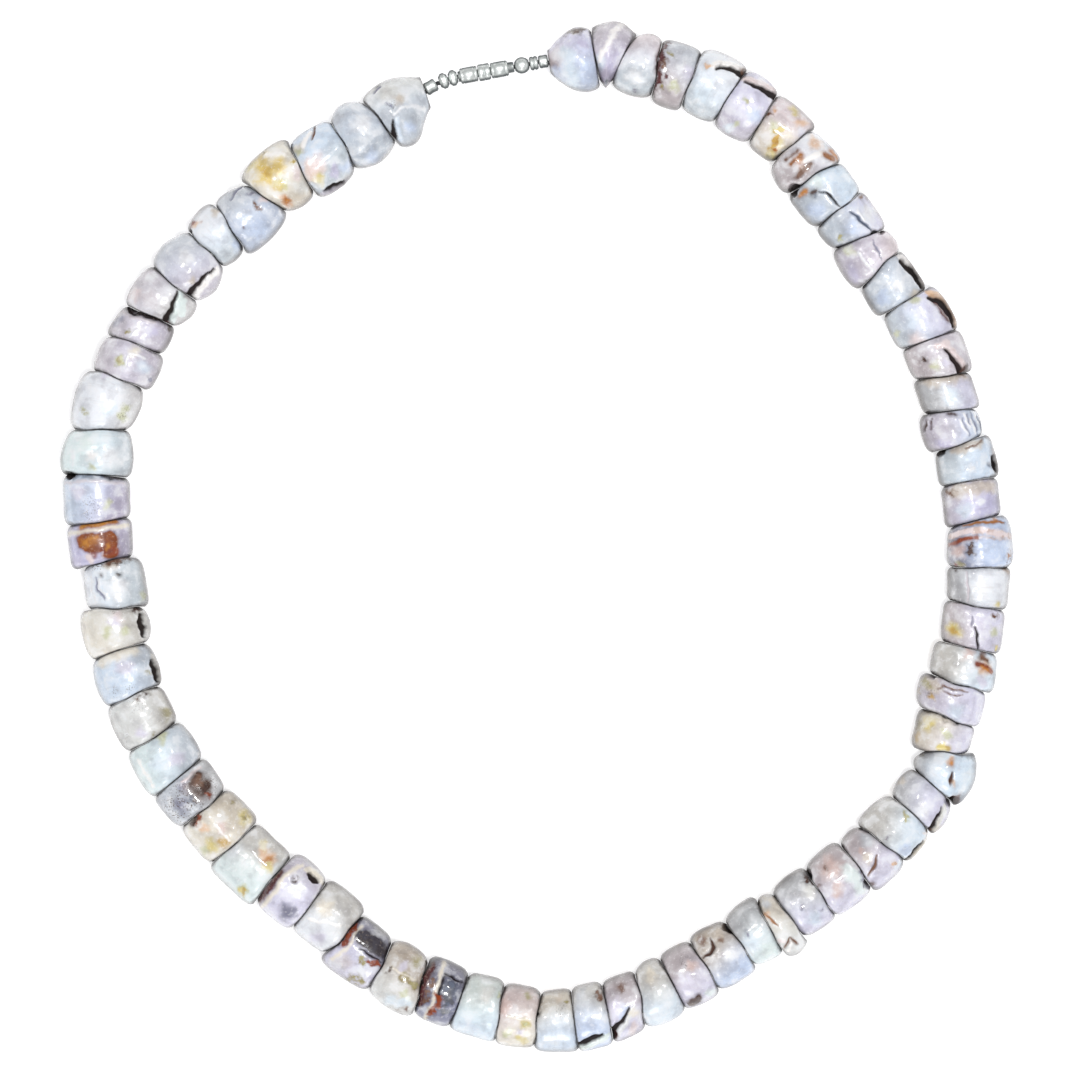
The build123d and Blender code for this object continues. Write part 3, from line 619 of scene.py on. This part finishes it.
def distanceTo(x, y, path):
    # mm from each point to a mark's line, how far along the line that is, and the line's x there
    best, along, lineX = np.full(len(x), 1e9), np.zeros(len(x)), np.zeros(len(x))
    ends = path if len(path) > 1 else path * 2
    steps = [math.dist(a, b) for a, b in zip(ends, ends[1:])]
    total, before = sum(steps) + 1e-9, 0
    for (ax, ay), (bx, by), step in zip(ends, ends[1:], steps):
        dx, dy = bx - ax, by - ay
        share = np.clip(((x - ax) * dx + (y - ay) * dy) / (step * step + 1e-9), 0, 1)
        gap = np.hypot(x - (ax + dx * share), y - (ay + dy * share))
        closer = gap < best
        best[closer] = gap[closer]
        along[closer] = (before + share * step)[closer] / total
        lineX[closer] = (ax + dx * share)[closer]
        before += step
    return best, along, lineX


def jointWave(shape, u, s):
    # how far a worn joint bends along the string, at a place across it
    bow, wiggle, phase = shape
    return s["jointWave"] * (bow * (1 - (u / 4.6) ** 2) + 0.45 * wiggle * np.sin(1.1 * u + phase))


def hiddenMarks(rng):
    # a few marks in random places on the underside, which the photograph doesn't show
    marks = []
    for way in (-1, -1, 1, 1):
        kind = rng.choice(("stain", "patch", "patch"))
        name = rng.choice(("brown", "ochre", "moss", "beige", "blue"))
        marks.append((kind, name, rng.uniform(0.4, 2.6), way * rng.uniform(1.2, 2.4), rng.uniform(0.1, 0.9)))
    if rng.random() < 0.4:
        way = rng.choice((-1, 1))
        marks.append(("crack", "umber", 0.3, way * rng.uniform(1.2, 1.8), rng.uniform(0.0, 0.3),
                      way * rng.uniform(1.2, 1.8), rng.uniform(0.6, 1.0)))
    return marks


def layMark(skin, s, halfWidth, kind, name, width, *places):
    # colours, cuts or lifts a bead's skin along the line of one mark
    path = [(u * halfWidth, v * skin.length) for u, v in zip(places[::2], places[1::2])]
    wander = s["wander"] if kind in s["steady"] else 1.0
    gap, along, lineX = distanceTo(skin.x + wander * skin.wobbleX, skin.y + wander * skin.wobbleY, path)
    if kind == "slit":                                    # opens along its line
        width = width * (0.3 + 0.85 * along)
    elif kind in ("crack", "fold"):                       # thin at both ends
        width = width * (0.35 + 0.75 * np.sin(math.pi * np.clip(along, 0.04, 0.96)) ** 0.8)
    shade = shades[name]
    field = 0.5 + (width / 2 - gap) / 2                   # 0.5 at the mark's edge, more inside
    spread = softStep(1.3 - gap / (width * s["patchReach"]))
    line = np.exp(-((gap / (width * 0.6)) ** 2))
    if kind == "patch":
        skin.tone = between(skin.tone, shade, spread * s["patchStrength"])
    elif kind == "tinge":                                 # another tone inside the stains made so far
        skin.stainTone = between(skin.stainTone, shade, spread)
    elif kind == "specks":
        thickness = 1.5 if name == "dark" else 0.7
        skin.specks = np.maximum(skin.specks, softStep(1.2 - gap / (width * 0.5)) * thickness)
    elif kind == "chip":
        amount = softStep(1 - gap / width)
        inward = 1 if path[0][1] < skin.length / 2 else -1
        skin.push += s["chipPush"] * width * amount * inward * softStep(3 * skin.topness - 1.05)
        skin.relief -= s["chipDepth"] * width * amount
        skin.crack = np.maximum(skin.crack, s["chipDark"] * amount)
    elif kind in ("stain", "band", "pit"):                # a band has smooth edges
        closer = field > skin.stainEdge
        skin.stainTone[closer], skin.stainEdge[closer] = shade, field[closer]
        skin.calmEdge[closer] = kind == "band"
        if kind == "pit":
            skin.relief -= s["pitDepth"] * np.exp(-((gap / (width * 0.5)) ** 2))
    elif kind == "ridge":
        skin.relief += s["ridgeHeight"] * line
        skin.paleTone[field > skin.pale] = shade
        skin.pale = np.maximum(skin.pale, field)
    else:                                                 # a crack, slit or fold
        skin.relief -= np.clip(s["cutStart"] + s["cutShare"] * width, 0, s["cutDeepest"]) * line
        edge = 0.5 + (width / 2 - gap) / 1.2
        closer = edge > np.maximum(skin.stainEdge, 0.3)
        # the opening of a slit or fold is painted near black: partly dirt, partly painted shade in the
        # hollow
        skin.stainTone[closer] = shade if kind == "crack" else shades["dark"]
        skin.stainEdge[closer] = edge[closer]
        skin.crack = np.maximum(skin.crack, edge)
        if kind != "crack":                               # the shell stands up pale behind the opening
            behind = (skin.x - lineX) * np.sign(path[0][0]) > 0
            lip = np.exp(-(((gap - width * 0.5 - 0.35) / 0.5) ** 2)) * behind
            skin.relief += s["lipHeight"] * lip
            skin.tone = between(skin.tone, shade, softStep(lip * 1.4))


def dressBead(number, bead, blank, joints, s):
    innerTone, outerTone, marks = readMarks(beadChart[number - 1])
    rng = np.random.default_rng(number)
    t, angle, inHole = blank.t, blank.angle, blank.inHole
    length = np.linalg.norm(bead.holes[1] - bead.holes[0])
    waves = readRadii(bead, blank.stations, s)
    radius = radiusAt(waves, angle, blank.row)
    if number in s["cones"]:
        start, growth, flattening = s["cones"][number]
        fromTip = (t if number == 1 else 1 - t) * length
        more = start + growth * fromTip + flattening * fromTip ** 2 - radius
        radius += 0.5 * (more + np.sqrt(more ** 2 + 0.12))
    topness = 0.5 + 0.5 * np.cos(angle)

    # uneven wear, less of it underneath so that the bead still rests on the floor
    lumps = np.zeros(len(t))
    for wave in s["lumpWaves"]:
        phase, phaseT = rng.uniform(0, math.tau, 2)
        lumps += np.sin(wave * angle + phase + 2.2 * wave * t + phaseT) / wave

    # where each point is on the charted plan of the bead
    nearShift, farShift = ((middle - hole) @ across for (normal, middle), hole, across
                           in zip(bead.ends, bead.holes, bead.across))
    way = np.sign(angle)
    beyond = np.abs(angle) - s["sideAngle"]
    edge = radiusAt(waves, way * s["sideAngle"], blank.row) * np.sin(s["sideAngle"]) * way
    wrapped = edge + way * radius * s["wrap"] * beyond * (1 + 0.4 * beyond)
    x = np.where(beyond > 0, wrapped, radius * np.sin(angle))
    x -= nearShift * (1 - t) + farShift * t
    y = t * length

    # the skin: body tones, then the marks of the chart
    p = rng.uniform(0, math.tau, 4)
    outer = softStep(0.5 + 0.5 * np.sin(angle) + 0.12 * np.sin(3 * t + number))
    tone = between(shades[innerTone], shades[outerTone], outer)
    # painted shade and light: the inner side is painted darker and browner, the outer side a little lighter
    # and bluer
    tone *= between(np.array(s["innerPaintedShade"]), np.array(s["outerPaintedLight"]), softStep(outer * 1.7))
    skin = SimpleNamespace(
        x=x, y=y, length=length, topness=topness, tone=tone,
        relief=s["lumps"] * (lumps / 2 - 0.9) * topness ** 0.5 * 0.7,
        wobbleX=0.24 * np.sin(2.3 * y + 0.8 * x + p[0]) + 0.14 * np.sin(4.9 * y - 3.1 * x + p[1]),
        wobbleY=0.2 * np.sin(2.0 * x - 0.9 * y + p[2]) + 0.12 * np.sin(4.4 * x + 3.7 * y + p[3]),
        stainTone=np.zeros((len(t), 3)), paleTone=np.tile(shades["milk"], (len(t), 1)),
        **{name: np.zeros(len(t)) for name in ("stainEdge", "calmEdge", "pale", "crack", "specks", "push")})
    for mark in marks + hiddenMarks(rng):
        layMark(skin, markForm, s["halfWidth"], *mark)

    # worn edges, end faces and hole
    fromEnd = np.minimum(t, 1 - t) * length
    atClasp = ((number == 1) & (t < 0.5)) | ((number == len(beadChart)) & (t > 0.5))
    drop = np.where(atClasp, s["endDrop"], s["rimDrop"])
    rimShare = np.clip(1 - fromEnd / np.where(atClasp, s["endReach"], s["rimReach"]), 0, 1)
    rim = radiusAt(waves, angle, np.where(t < 0.5, 0, len(blank.stations) - 1))
    if number in s["cones"]:
        rim = np.where(atClasp, np.maximum(rim, s["cones"][number][0]), rim)
    rim -= drop * 0.86
    adjusted = radius + skin.relief - drop * (1 - np.sqrt(1 - rimShare ** 2 * 0.98))
    final = np.where(blank.side, adjusted, s["holeRadius"] + (rim - s["holeRadius"]) * blank.relative)
    final = np.where(inHole, s["holeRadius"], final)
    dish = s["dishDepth"] * np.clip(1 - (final / (rim * s["dishShare"])) ** 2, 0, 1) * (t > 0.999)
    whorl = s["whorlDepth"] * (1 + np.sin(angle + 5.5 * math.pi * blank.relative))
    whorl *= softStep(blank.relative * 3) * softStep((1 - blank.relative) * 6)
    inset = np.where(blank.onFace | inHole, dish + whorl * blank.onFace, 0.0)

    # each point's place along the bead and across it
    u = final * np.sin(angle)
    toFar = softStep(t)
    bend = jointWave(joints[number - 1], u, s) * (1 - toFar) + jointWave(joints[number], u, s) * toFar
    fromMiddle = 2 * t - 1
    closer = s["closeUp"] * fromMiddle * (np.abs(fromMiddle) > 0.6) * (1 < number < len(beadChart))
    push = np.where(inHole, 0, skin.push * softStep(1 - fromEnd / 2))
    share = (y + np.where(t > 0.5, -inset, inset) + push + bend + closer) / length
    points = between(*bead.holes, share) + unit(between(*bead.across, share)) * u[:, None]
    highest = cadBox[1].z / mm - s["floorGap"]
    points[:, 2] = np.clip(points[:, 2] + final * np.cos(angle), s["floorGap"], highest)

    mesh = blank.mesh.copy()
    mesh.name = f"shellBead{number:02d}"
    mesh.vertices.foreach_set("co", (points * mm).ravel())
    # joints and end faces are darkened in colour: partly dirt, partly painted shade of the gaps between
    # beads, wider down the sides
    jointDirtAndShade = s["jointDirtAndShade"][0] + s["jointDirtAndShade"][1] * softStep(1.95 - 2 * topness)
    joint = np.where(blank.side, np.exp(-fromEnd / jointDirtAndShade), 1.0)
    fields = {
        "tone": (skin.tone, skin.calmEdge),
        "stain": (skin.stainTone, np.clip(skin.stainEdge, 0, 1)),
        "ridge": (skin.paleTone, np.clip(skin.pale, 0, 1)),
        "wear": (np.clip(skin.crack, 0, 1), skin.specks, joint, topness),
        "plan": (angle * s["halfWidth"], y, np.full(len(t), number * 3.7), np.ones(len(t))),
    }
    for name, values in fields.items():
        layer = mesh.attributes.new(name, "FLOAT_COLOR", "POINT")
        layer.data.foreach_set("color", np.column_stack(values).astype(np.float32).ravel())
    mesh.update()
    return addPiece(mesh.name, mesh, shellMaterial, bead.node)


# Polished shell: the worn top of a cone shell, sea-tumbled and polished. It gives a milky, slightly
# see-through body with a wet shine, cloudy pale colours, and rusty or olive stains with ragged edges.
shellFinish = {
    "cloudSize": 2.4, "grainSize": 0.5, "streakWidth": 0.55, "dentSize": 1.3,       # mm
    "stainGrain": 0.7, "speckSize": 0.24, "bumpDepth": 0.09, "milkDepth": 0.6,
    "stainRagged": 0.75, "roughness": (0.16, 0.4),
    "cloudColours": ("#CDCBCD", "#F4F5F7"), "streakColour": "#C8C0BA", "grainColour": "#F6F6F8",
    "stainDark": "#C4A88E", "stainPale": "#EBD9C4",
    # the joint colour is partly dirt and partly painted shade of the gaps; the flank colour is painted shade
    # down the sides
    "jointDirtAndShadeColour": "#2C2320", "speckColour": "#5E5046", "paintedFlankShadeColour": "#645850",
}


def makeShellMaterial(s):
    material, tree, shader = newMaterial("polishedConeShell", {
        "IOR": 1.53, "Coat Roughness": 0.05, "Subsurface Weight": 0.12,
        "Subsurface Radius": (1.0, 0.85, 0.75), "Subsurface Scale": s["milkDepth"] * mm})
    add = partial(addNode, tree)
    smooth = {"interpolation_type": "SMOOTHSTEP"}

    def coat(under, kind, driver, span, paint):
        # one more layer of colour, where the driver is within the span
        amount = add("MapRange", driver, *span, **smooth)
        return add("Mix", amount, under, paint, data_type="RGBA", blend_type=kind)

    where = add("TexCoord").outputs["Object"]
    clouds, grain, dents, tatters, spots = (
        add("TexNoise", where, 1 / (s[size] * mm), detail) for size, detail in
        (("cloudSize", 4.0), ("grainSize", 3.0), ("dentSize", 1.0), ("stainGrain", 2.5), ("speckSize", 0.0)))
    tone, stain, ridge, wear, plan = (add("Attribute", attribute_name=name)
                                      for name in ("tone", "stain", "ridge", "wear", "plan"))
    stretched = add("Mapping", plan.outputs["Vector"], Scale=(0.13, 1.0, 1.0))
    streaks = add("TexNoise", stretched, 1 / s["streakWidth"], 2.0)
    crack, speckled, joint = add("SeparateColor", wear.outputs["Color"]).outputs
    top = wear.outputs["Alpha"]

    colour = tone.outputs["Color"]
    for kind, pattern, span, paint in (
            ("MULTIPLY", clouds, (0.46, 0.7, 0.0, 0.6), s["cloudColours"][0]),
            ("MIX", clouds, (0.52, 0.32, 0.0, 0.5), s["cloudColours"][1]),
            ("MULTIPLY", streaks, (0.55, 0.75, 0.0, 0.16), s["streakColour"]),
            ("MIX", grain, (0.54, 0.72, 0.0, 0.3), s["grainColour"])):
        colour = coat(colour, kind, pattern, span, linear(paint))

    # stains with edges as ragged as the fine pattern makes them, calmer on cracks and bands
    ragged = add("Math", tatters, s["stainRagged"], -0.5 * s["stainRagged"], operation="MULTIPLY_ADD")
    for driver, *span in ((crack, 0.1, 0.5, 1.0, 0.2), (tone.outputs["Alpha"], 0.0, 1.0, 1.0, 0.3)):
        ragged = add("Math", ragged, add("MapRange", driver, *span, **smooth), operation="MULTIPLY")
    torn, raised, jointDirtAndShadeEdge = (
        add("Math", ragged, amount, edge, operation="MULTIPLY_ADD") for amount, edge in
        ((1.0, stain.outputs["Alpha"]), (0.4, ridge.outputs["Alpha"]), (0.8, joint)))
    stainColour = stain.outputs["Color"]
    stainColour = coat(stainColour, "MULTIPLY", dents, (0.4, 0.6, 0.0, 0.6), linear(s["stainDark"]))
    stainColour = coat(stainColour, "MIX", grain, (0.54, 0.72, 0.0, 0.16), linear(s["stainPale"]))
    stainColour = coat(stainColour, "MIX", crack, (0.3, 0.5), stain.outputs["Color"])
    colour = coat(colour, "MIX", raised, (0.36, 0.62, 0.0, 0.88), ridge.outputs["Color"])
    colour = coat(colour, "MULTIPLY", torn, (0.2, 0.5, 0.0, 0.4), stain.outputs["Color"])
    colour = coat(colour, "MIX", torn, (0.4, 0.6, 0.0, 0.95), stainColour)

    specks = add("Math", add("MapRange", spots, 0.6, 0.7, **smooth), speckled, operation="MULTIPLY")
    # painted shade: the sides darken towards the silhouette, and less so underneath
    shadeTowardSides = add("MapRange", top, 0.78, 0.5, 0.0, 0.95, **smooth)
    underside = add("MapRange", top, 0.25, 0.5, 0.45, 1.0, **smooth)
    paintedFlankShade = add("Math", shadeTowardSides, underside, operation="MULTIPLY")
    # the joints and end faces darken: partly dirt, partly painted shade of the gaps
    jointDirtAndShade = add("MapRange", jointDirtAndShadeEdge, 0.3, 0.95, 0.0, 0.8, **smooth)
    speckAmount = add("Math", specks, 0.6, operation="MULTIPLY")
    for kind, amount, paint in (("MIX", speckAmount, "speckColour"), ("MULTIPLY", paintedFlankShade, "paintedFlankShadeColour"),
                                ("MIX", jointDirtAndShade, "jointDirtAndShadeColour")):
        colour = add("Mix", amount, colour, linear(s[paint]), data_type="RGBA", blend_type=kind)

    rough = add("MapRange", clouds, 0.3, 0.7, *s["roughness"], **smooth)
    rough = add("Math", rough, add("Math", jointDirtAndShade, 0.7, operation="MULTIPLY"), operation="MAXIMUM")
    rough = add("Math", rough, add("MapRange", crack, 0.35, 0.6, 0.0, 0.75, **smooth), operation="MAXIMUM")
    height = 0.0
    for pattern, depth in ((streaks, 0.14), (grain, 0.3), (dents, 1.6), (specks, -0.6)):
        height = add("Math", pattern, depth, height, operation="MULTIPLY_ADD")
    bump = add("Bump", Strength=0.8, Distance=s["bumpDepth"] * mm, Height=height)
    wire(shader, {"Base Color": colour, "Roughness": rough, "Normal": bump,
                  "Specular IOR Level": add("MapRange", crack, 0.3, 0.55, 0.5, 0.04, **smooth),
                  "Coat Weight": add("MapRange", crack, 0.3, 0.55, 0.4, 0.0, **smooth)})
    return material


shellMaterial = makeShellMaterial(shellFinish)
blank = blankBead(beadForm)
beads = findBeads()
joints = [(random.uniform(-1, 1), random.uniform(-1, 1), random.uniform(0, 6)) for joint in beads]
joints = [(0, 0, 0)] + joints[1:] + [(0, 0, 0)]
for number, bead in enumerate(beads, 1):
    dressBead(number, bead, blank, joints, beadForm)
bpy.data.meshes.remove(blank.mesh)
print("shell beads made:", len(beads))

# Silver-plated brass, tumbled bright: a mirror grey with fine scratches. Below its top the colour is painted
# darker and less metallic, as painted shade and painted reflection, and a little lighter again underneath,
# as a painted reflection of the floor.
silverFinish = {
    "bright": "#F6FAF7", "dull": "#D6DCD9", "roughness": (0.26, 0.45),
    "cloudSize": 0.6, "scratch": 0.05, "scratchSize": 0.4, "scratchDepth": 0.02,
    # the heights where the sides start to be painted dark, as painted shade and reflection, and where they
    # lighten again underneath, as a painted reflection of the floor
    "sideShade": "#32393C", "sideShadeFrom": 6.34, "sideShadeTo": 5.98, "undersideLightFrom": 5.1, "undersideLightTo": 4.7,
}


def makeSilver(s):
    material, tree, shader = newMaterial("polishedSilverPlate", {"Specular IOR Level": 0.0})
    add = partial(addNode, tree)
    where = add("TexCoord").outputs["Object"]
    cloud = add("TexNoise", where, 1 / (s["cloudSize"] * mm), 5.0)
    rough = add("MapRange", cloud, 0.3, 0.7, *s["roughness"])
    shine = add("MapRange", cloud, 0.62, 0.4)
    tint = add("Mix", shine, linear(s["dull"]), linear(s["bright"]), data_type="RGBA")
    height = add("SeparateXYZ", where).outputs["Z"]
    # painted shade and reflection: darker below the top and down the sides, and a little lighter again
    # underneath, as a painted reflection of the floor
    paintedSideShade = add("MapRange", height, s["sideShadeFrom"] * mm, s["sideShadeTo"] * mm, 0.0, 0.85)
    under = add("MapRange", height, s["undersideLightTo"] * mm, s["undersideLightFrom"] * mm, 0.55, 1.0)
    paintedSideShade = add("Math", paintedSideShade, under, operation="MULTIPLY")
    adjusted = add("Mix", paintedSideShade, tint, linear(s["sideShade"]), data_type="RGBA")
    metal = add("MapRange", paintedSideShade, 0.0, 1.0, 0.62, 0.0)
    stretch = add("Mapping", where, Scale=(1.0, 6.0, 6.0))
    lines = add("TexNoise", stretch, 1 / (s["scratchSize"] * mm), 3.0)
    bump = add("Bump", Strength=s["scratch"], Distance=s["scratchDepth"] * mm, Height=lines)
    wire(shader, {"Base Color": adjusted, "Roughness": rough, "Metallic": metal, "Normal": bump})
    return material


silverMaterial = makeSilver(silverFinish)


def axisOf(node):
    # a turned piece's middle, and its direction towards the clasp's right
    points, faces = meshArrays(node)
    normal = flatEnds(points, faces)[-1][0]
    normal = normal if normal[0] > 0 else -normal
    side = unit(np.cross(normal, (0, 0, 1)))
    middle = normal * midway(points @ normal) + side * midway(points @ side)
    middle[2] = midway(points[:, 2])
    return middle, normal


def turnedPiece(name, node, outline, steps=48, facets=False, dents=0.0):
    # outline: pairs of a distance from the piece's left end and a radius, spun round the thread's line
    middle, direction = axisOf(node)
    length = max(along for along, radius in outline)
    bored = outline[0][1] > 0
    bm = spun([(radius, along - length / 2) for along, radius in outline], steps, closed=bored)
    for vert in bm.verts:                                 # pliers' dents in the crimps
        twoSided = 0.5 + 0.5 * math.cos(2 * math.atan2(vert.co.y, vert.co.x) + 0.6)
        squeeze = 1 - dents * twoSided * math.exp(-(vert.co.z / (0.3 * length)) ** 2)
        vert.co.x *= squeeze
        vert.co.y *= squeeze
    turn = Vector(direction).to_track_quat("Z", "Y").to_matrix().to_4x4()
    place = Matrix.Translation(Vector(middle) * mm) @ turn @ Matrix.Scale(mm, 4)
    bmesh.ops.transform(bm, matrix=place, verts=bm.verts)
    return addPiece(name, toMesh(bm, name, not facets), silverMaterial, node)


def rounded(start, radius, rounding, outward, steps=5):
    # a quarter round at one end of a drum: from its flat end up to its side, or back down
    arc = [(start + rounding * (1 - math.cos(a)), radius - rounding * (1 - math.sin(a)))
           for a in (math.pi / 2 * i / steps for i in range(steps + 1))]
    return arc if outward else [(2 * start - along, r) for along, r in reversed(arc)]


def groove(along, radius, depth=0.07, width=0.16):
    return [(along - width / 2, radius), (along - width / 4, radius - depth),
            (along + width / 4, radius - depth), (along + width / 2, radius)]


def drum(start, end, radius, rounding, middle):
    # a rounded drum with what its side has in the middle
    return rounded(start, radius, rounding, True) + middle + rounded(end, radius, rounding, False)


bore = 0.5
metalSizes = {
    "ball": {"length": 2.3, "radius": 1.3, "openAngle": 28, "steps": 22},
    "spacer": {"length": 1.3, "radius": 1.1, "rounding": 0.34, "grooveDepth": 0.12, "grooveWidth": 0.3},
    "crimpRight": {"length": 1.5, "radius": 1.1, "rounding": 0.42, "dents": 0.13},
    "crimpLeft": {"length": 1.95, "radius": 1.1, "rounding": 0.42, "dents": 0.13},
    "rondelle": {"length": 1.4, "radius": 1.275, "facets": 10,
                 "bevels": ((0, 0.82), (0.18, 0.98), (0.46, 1.275))},
    "barrel": {"length": 2.75, "radius": 1.25, "rounding": 0.3, "grooveFromEnd": 0.42, "neck": 0.85,
               "leftNeck": 0.35, "rightNeck": 0.95, "screw": 0.65, "screwLength": 3.9,
               "threadStart": 0.25, "threadStep": 0.13, "threadDepth": 0.07, "threadTurns": 27,
               "socket": 0.75, "socketDepth": 1.8, "seat": 1.0, "steps": 56},
    "collar": {"length": 1.9, "radius": 1.325, "bevels": ((0, 0.2), (0.05, 0.13), (0.2, 0))},
}


def makeSpacers(sizes):
    ball = sizes["ball"]
    opening = math.radians(ball["openAngle"])
    arcs = [opening + (math.pi - 2 * opening) * i / ball["steps"] for i in range(ball["steps"] + 1)]
    half = ball["length"] / 2
    outline = [(half - half / math.cos(opening) * math.cos(a), ball["radius"] * math.sin(a)) for a in arcs]
    outline = [(0, bore)] + outline + [(ball["length"], bore)]
    turnedPiece("ballBead", "ball_bead_right", outline)

    s = sizes["spacer"]
    end, r = s["length"], s["radius"]
    outline = drum(0, end, r, s["rounding"], groove(end / 2, r, s["grooveDepth"], s["grooveWidth"]))
    turnedPiece("spacerBead", "spacer_bead_right", [(0, bore)] + outline + [(end, bore)])

    for name, node in (("crimpRight", "crimp_bead_right"), ("crimpLeft", "crimp_bead_left")):
        s = sizes[name]
        end, r = s["length"], s["radius"]
        outline = drum(0, end, r, s["rounding"], [(end * i / 8, r) for i in (3, 4, 5)])
        turnedPiece(name, node, [(0, bore)] + outline + [(end, bore)], dents=s["dents"])

    s = sizes["rondelle"]
    outline = [*s["bevels"]] + [(s["length"] - along, r) for along, r in reversed(s["bevels"])]
    outline = [(0, bore)] + outline + [(s["length"], bore)]
    for name, node in (("rondelleInner", "rondelle_left_inner"), ("rondelleOuter", "rondelle_left_outer")):
        turnedPiece(name, node, outline, steps=s["facets"], facets=True)


def makeClasp(b, collar):
    # b is a barrel; each half is outlined from its left end
    r, neck, socket, inGroove = b["radius"], b["neck"], b["socket"], b["grooveFromEnd"]
    start = b["screwLength"]
    end = start + b["length"]
    tip = end + b["rightNeck"]
    outline = [(0, 0), (0, b["screw"] - 0.15)]
    outline += [(b["threadStart"] + b["threadStep"] * i, b["screw"] - (b["threadDepth"] if i % 2 else 0))
                for i in range(b["threadTurns"])]
    outline += [(start, b["screw"])]
    outline += drum(start, end, r, b["rounding"], groove(start + inGroove, r) + groove(end - inGroove, r))
    outline += [(end, neck)] + rounded(tip, neck, 0.14, False, 3)
    outline += [(tip, bore), (tip - b["seat"], bore), (tip - b["seat"], 0)]
    turnedPiece("barrelRight", "clasp_barrel_right", outline, b["steps"])

    start = b["leftNeck"]
    end = start + b["length"]
    outline = [(b["seat"], 0), (b["seat"], bore), (0, bore), (0, neck - 0.1), (0.1, neck), (start, neck)]
    outline += drum(start, end, r, b["rounding"], groove(start + inGroove, r) + groove(end - inGroove, r))
    outline += [(end, socket), (end - b["socketDepth"], socket), (end - b["socketDepth"], 0)]
    turnedPiece("barrelLeft", "clasp_barrel_left", outline, b["steps"])

    end, r = collar["length"], collar["radius"]
    bevel = [(along, r - drop) for along, drop in collar["bevels"]]
    outline = [(0, socket)] + bevel + groove(end / 2, r) + [(end - along, r) for along, r in reversed(bevel)]
    turnedPiece("claspCollar", "clasp_collar", outline + [(end, socket)], b["steps"])


makeSpacers(metalSizes)
makeClasp(metalSizes["barrel"], metalSizes["collar"])
print("silver pieces made")

# Twisted nylon beading thread: dark grey, waxed, three strands laid together. It gives dull waxy
# fibres that are darker between them.
threadForm = {
    "strands": 3, "strandRadius": 0.19, "offset": 0.205, "pitch": 2.6, "stepsPerTurn": 8,
    "clearOfSeat": 0.16, "smoothing": 6,
    "colour": "#3A3C3E", "shadow": "#232527", "fibre": 0.12, "fibreDepth": 0.03,
}


def threadLine(b, clear):
    # the thread's line from the clasp's right half, clockwise to its left half
    start, direction = axisOf("clasp_barrel_right")
    whole = b["screwLength"] + b["length"] + b["rightNeck"]
    places = [start + direction * (whole - b["seat"] + clear - whole / 2)]
    places += [axisOf(node)[0] for node in ("ball_bead_right", "spacer_bead_right", "crimp_bead_right")]
    places += [bead.holes[0] for bead in beads] + [beads[-1].holes[1]]
    places += [axisOf(node)[0] for node in ("crimp_bead_left", "rondelle_left_outer", "rondelle_left_inner")]
    end, direction = axisOf("clasp_barrel_left")
    places.append(end + direction * (b["seat"] - clear - (b["leftNeck"] + b["length"]) / 2))
    return places


def makeThread(s):
    places = threadLine(metalSizes["barrel"], s["clearOfSeat"])
    fine = []
    for i in range(len(places) - 1):                      # a smooth line through the places
        p0, p1, p2, p3 = places[max(i - 1, 0)], places[i], places[i + 1], places[min(i + 2, len(places) - 1)]
        for step in range(s["smoothing"]):
            t = step / s["smoothing"]
            fine.append(0.5 * (2 * p1 + (p2 - p0) * t + (2 * p0 - 5 * p1 + 4 * p2 - p3) * t ** 2
                               + (3 * p1 - p0 - 3 * p2 + p3) * t ** 3))
    fine = np.array(fine + [places[-1]])
    travel = np.r_[0, np.cumsum(np.linalg.norm(np.diff(fine, axis=0), axis=1))]
    count = int(travel[-1] / s["pitch"] * s["stepsPerTurn"])
    at = np.linspace(0, travel[-1], count)
    line = np.stack([np.interp(at, travel, fine[:, i]) for i in range(3)], axis=1)
    across = unit(np.cross(np.gradient(line, axis=0), (0, 0, 1)))
    curve = bpy.data.curves.new("beadingThread", "CURVE")
    curve.dimensions, curve.bevel_depth, curve.bevel_resolution = "3D", s["strandRadius"] * mm, 1
    curve.use_fill_caps = True
    for strand in range(s["strands"]):
        angle = at / s["pitch"] * math.tau + strand * math.tau / s["strands"]
        points = line + across * (s["offset"] * np.cos(angle))[:, None]
        points[:, 2] += s["offset"] * np.sin(angle)
        spline = curve.splines.new("POLY")
        spline.points.add(count - 1)
        spline.points.foreach_set("co", np.c_[points * mm, np.ones(count)].ravel())
    source = newObject("threadCurve", curve)
    swept = bpy.data.meshes.new_from_object(source.evaluated_get(bpy.context.evaluated_depsgraph_get()))
    bpy.data.objects.remove(source)
    bpy.data.curves.remove(curve)
    bm = bmesh.new()
    bm.from_mesh(swept)
    bpy.data.meshes.remove(swept)
    bmesh.ops.remove_doubles(bm, verts=bm.verts, dist=1e-7)
    bmesh.ops.recalc_face_normals(bm, faces=bm.faces)
    mesh = toMesh(bm, "beadingThread")
    material, tree, shader = newMaterial("waxedNylonThread", {"Roughness": 0.6})
    add = partial(addNode, tree)
    fibres = add("TexNoise", add("TexCoord").outputs["Object"], 1 / (s["fibre"] * mm), 3.0)
    tint = add("Mix", fibres, linear(s["shadow"]), linear(s["colour"]), data_type="RGBA")
    bump = add("Bump", Strength=0.4, Distance=s["fibreDepth"] * mm, Height=fibres)
    wire(shader, {"Base Color": tint, "Normal": bump})
    return addPiece("beadingThread", mesh, material, "thread")


makeThread(threadForm)
print("thread made")

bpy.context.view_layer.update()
made = [o for o in bpy.data.objects if o.type == "MESH" and o.name not in nodes]
print("triangles:", sum(len(p.vertices) - 2 for o in made for p in o.data.polygons))
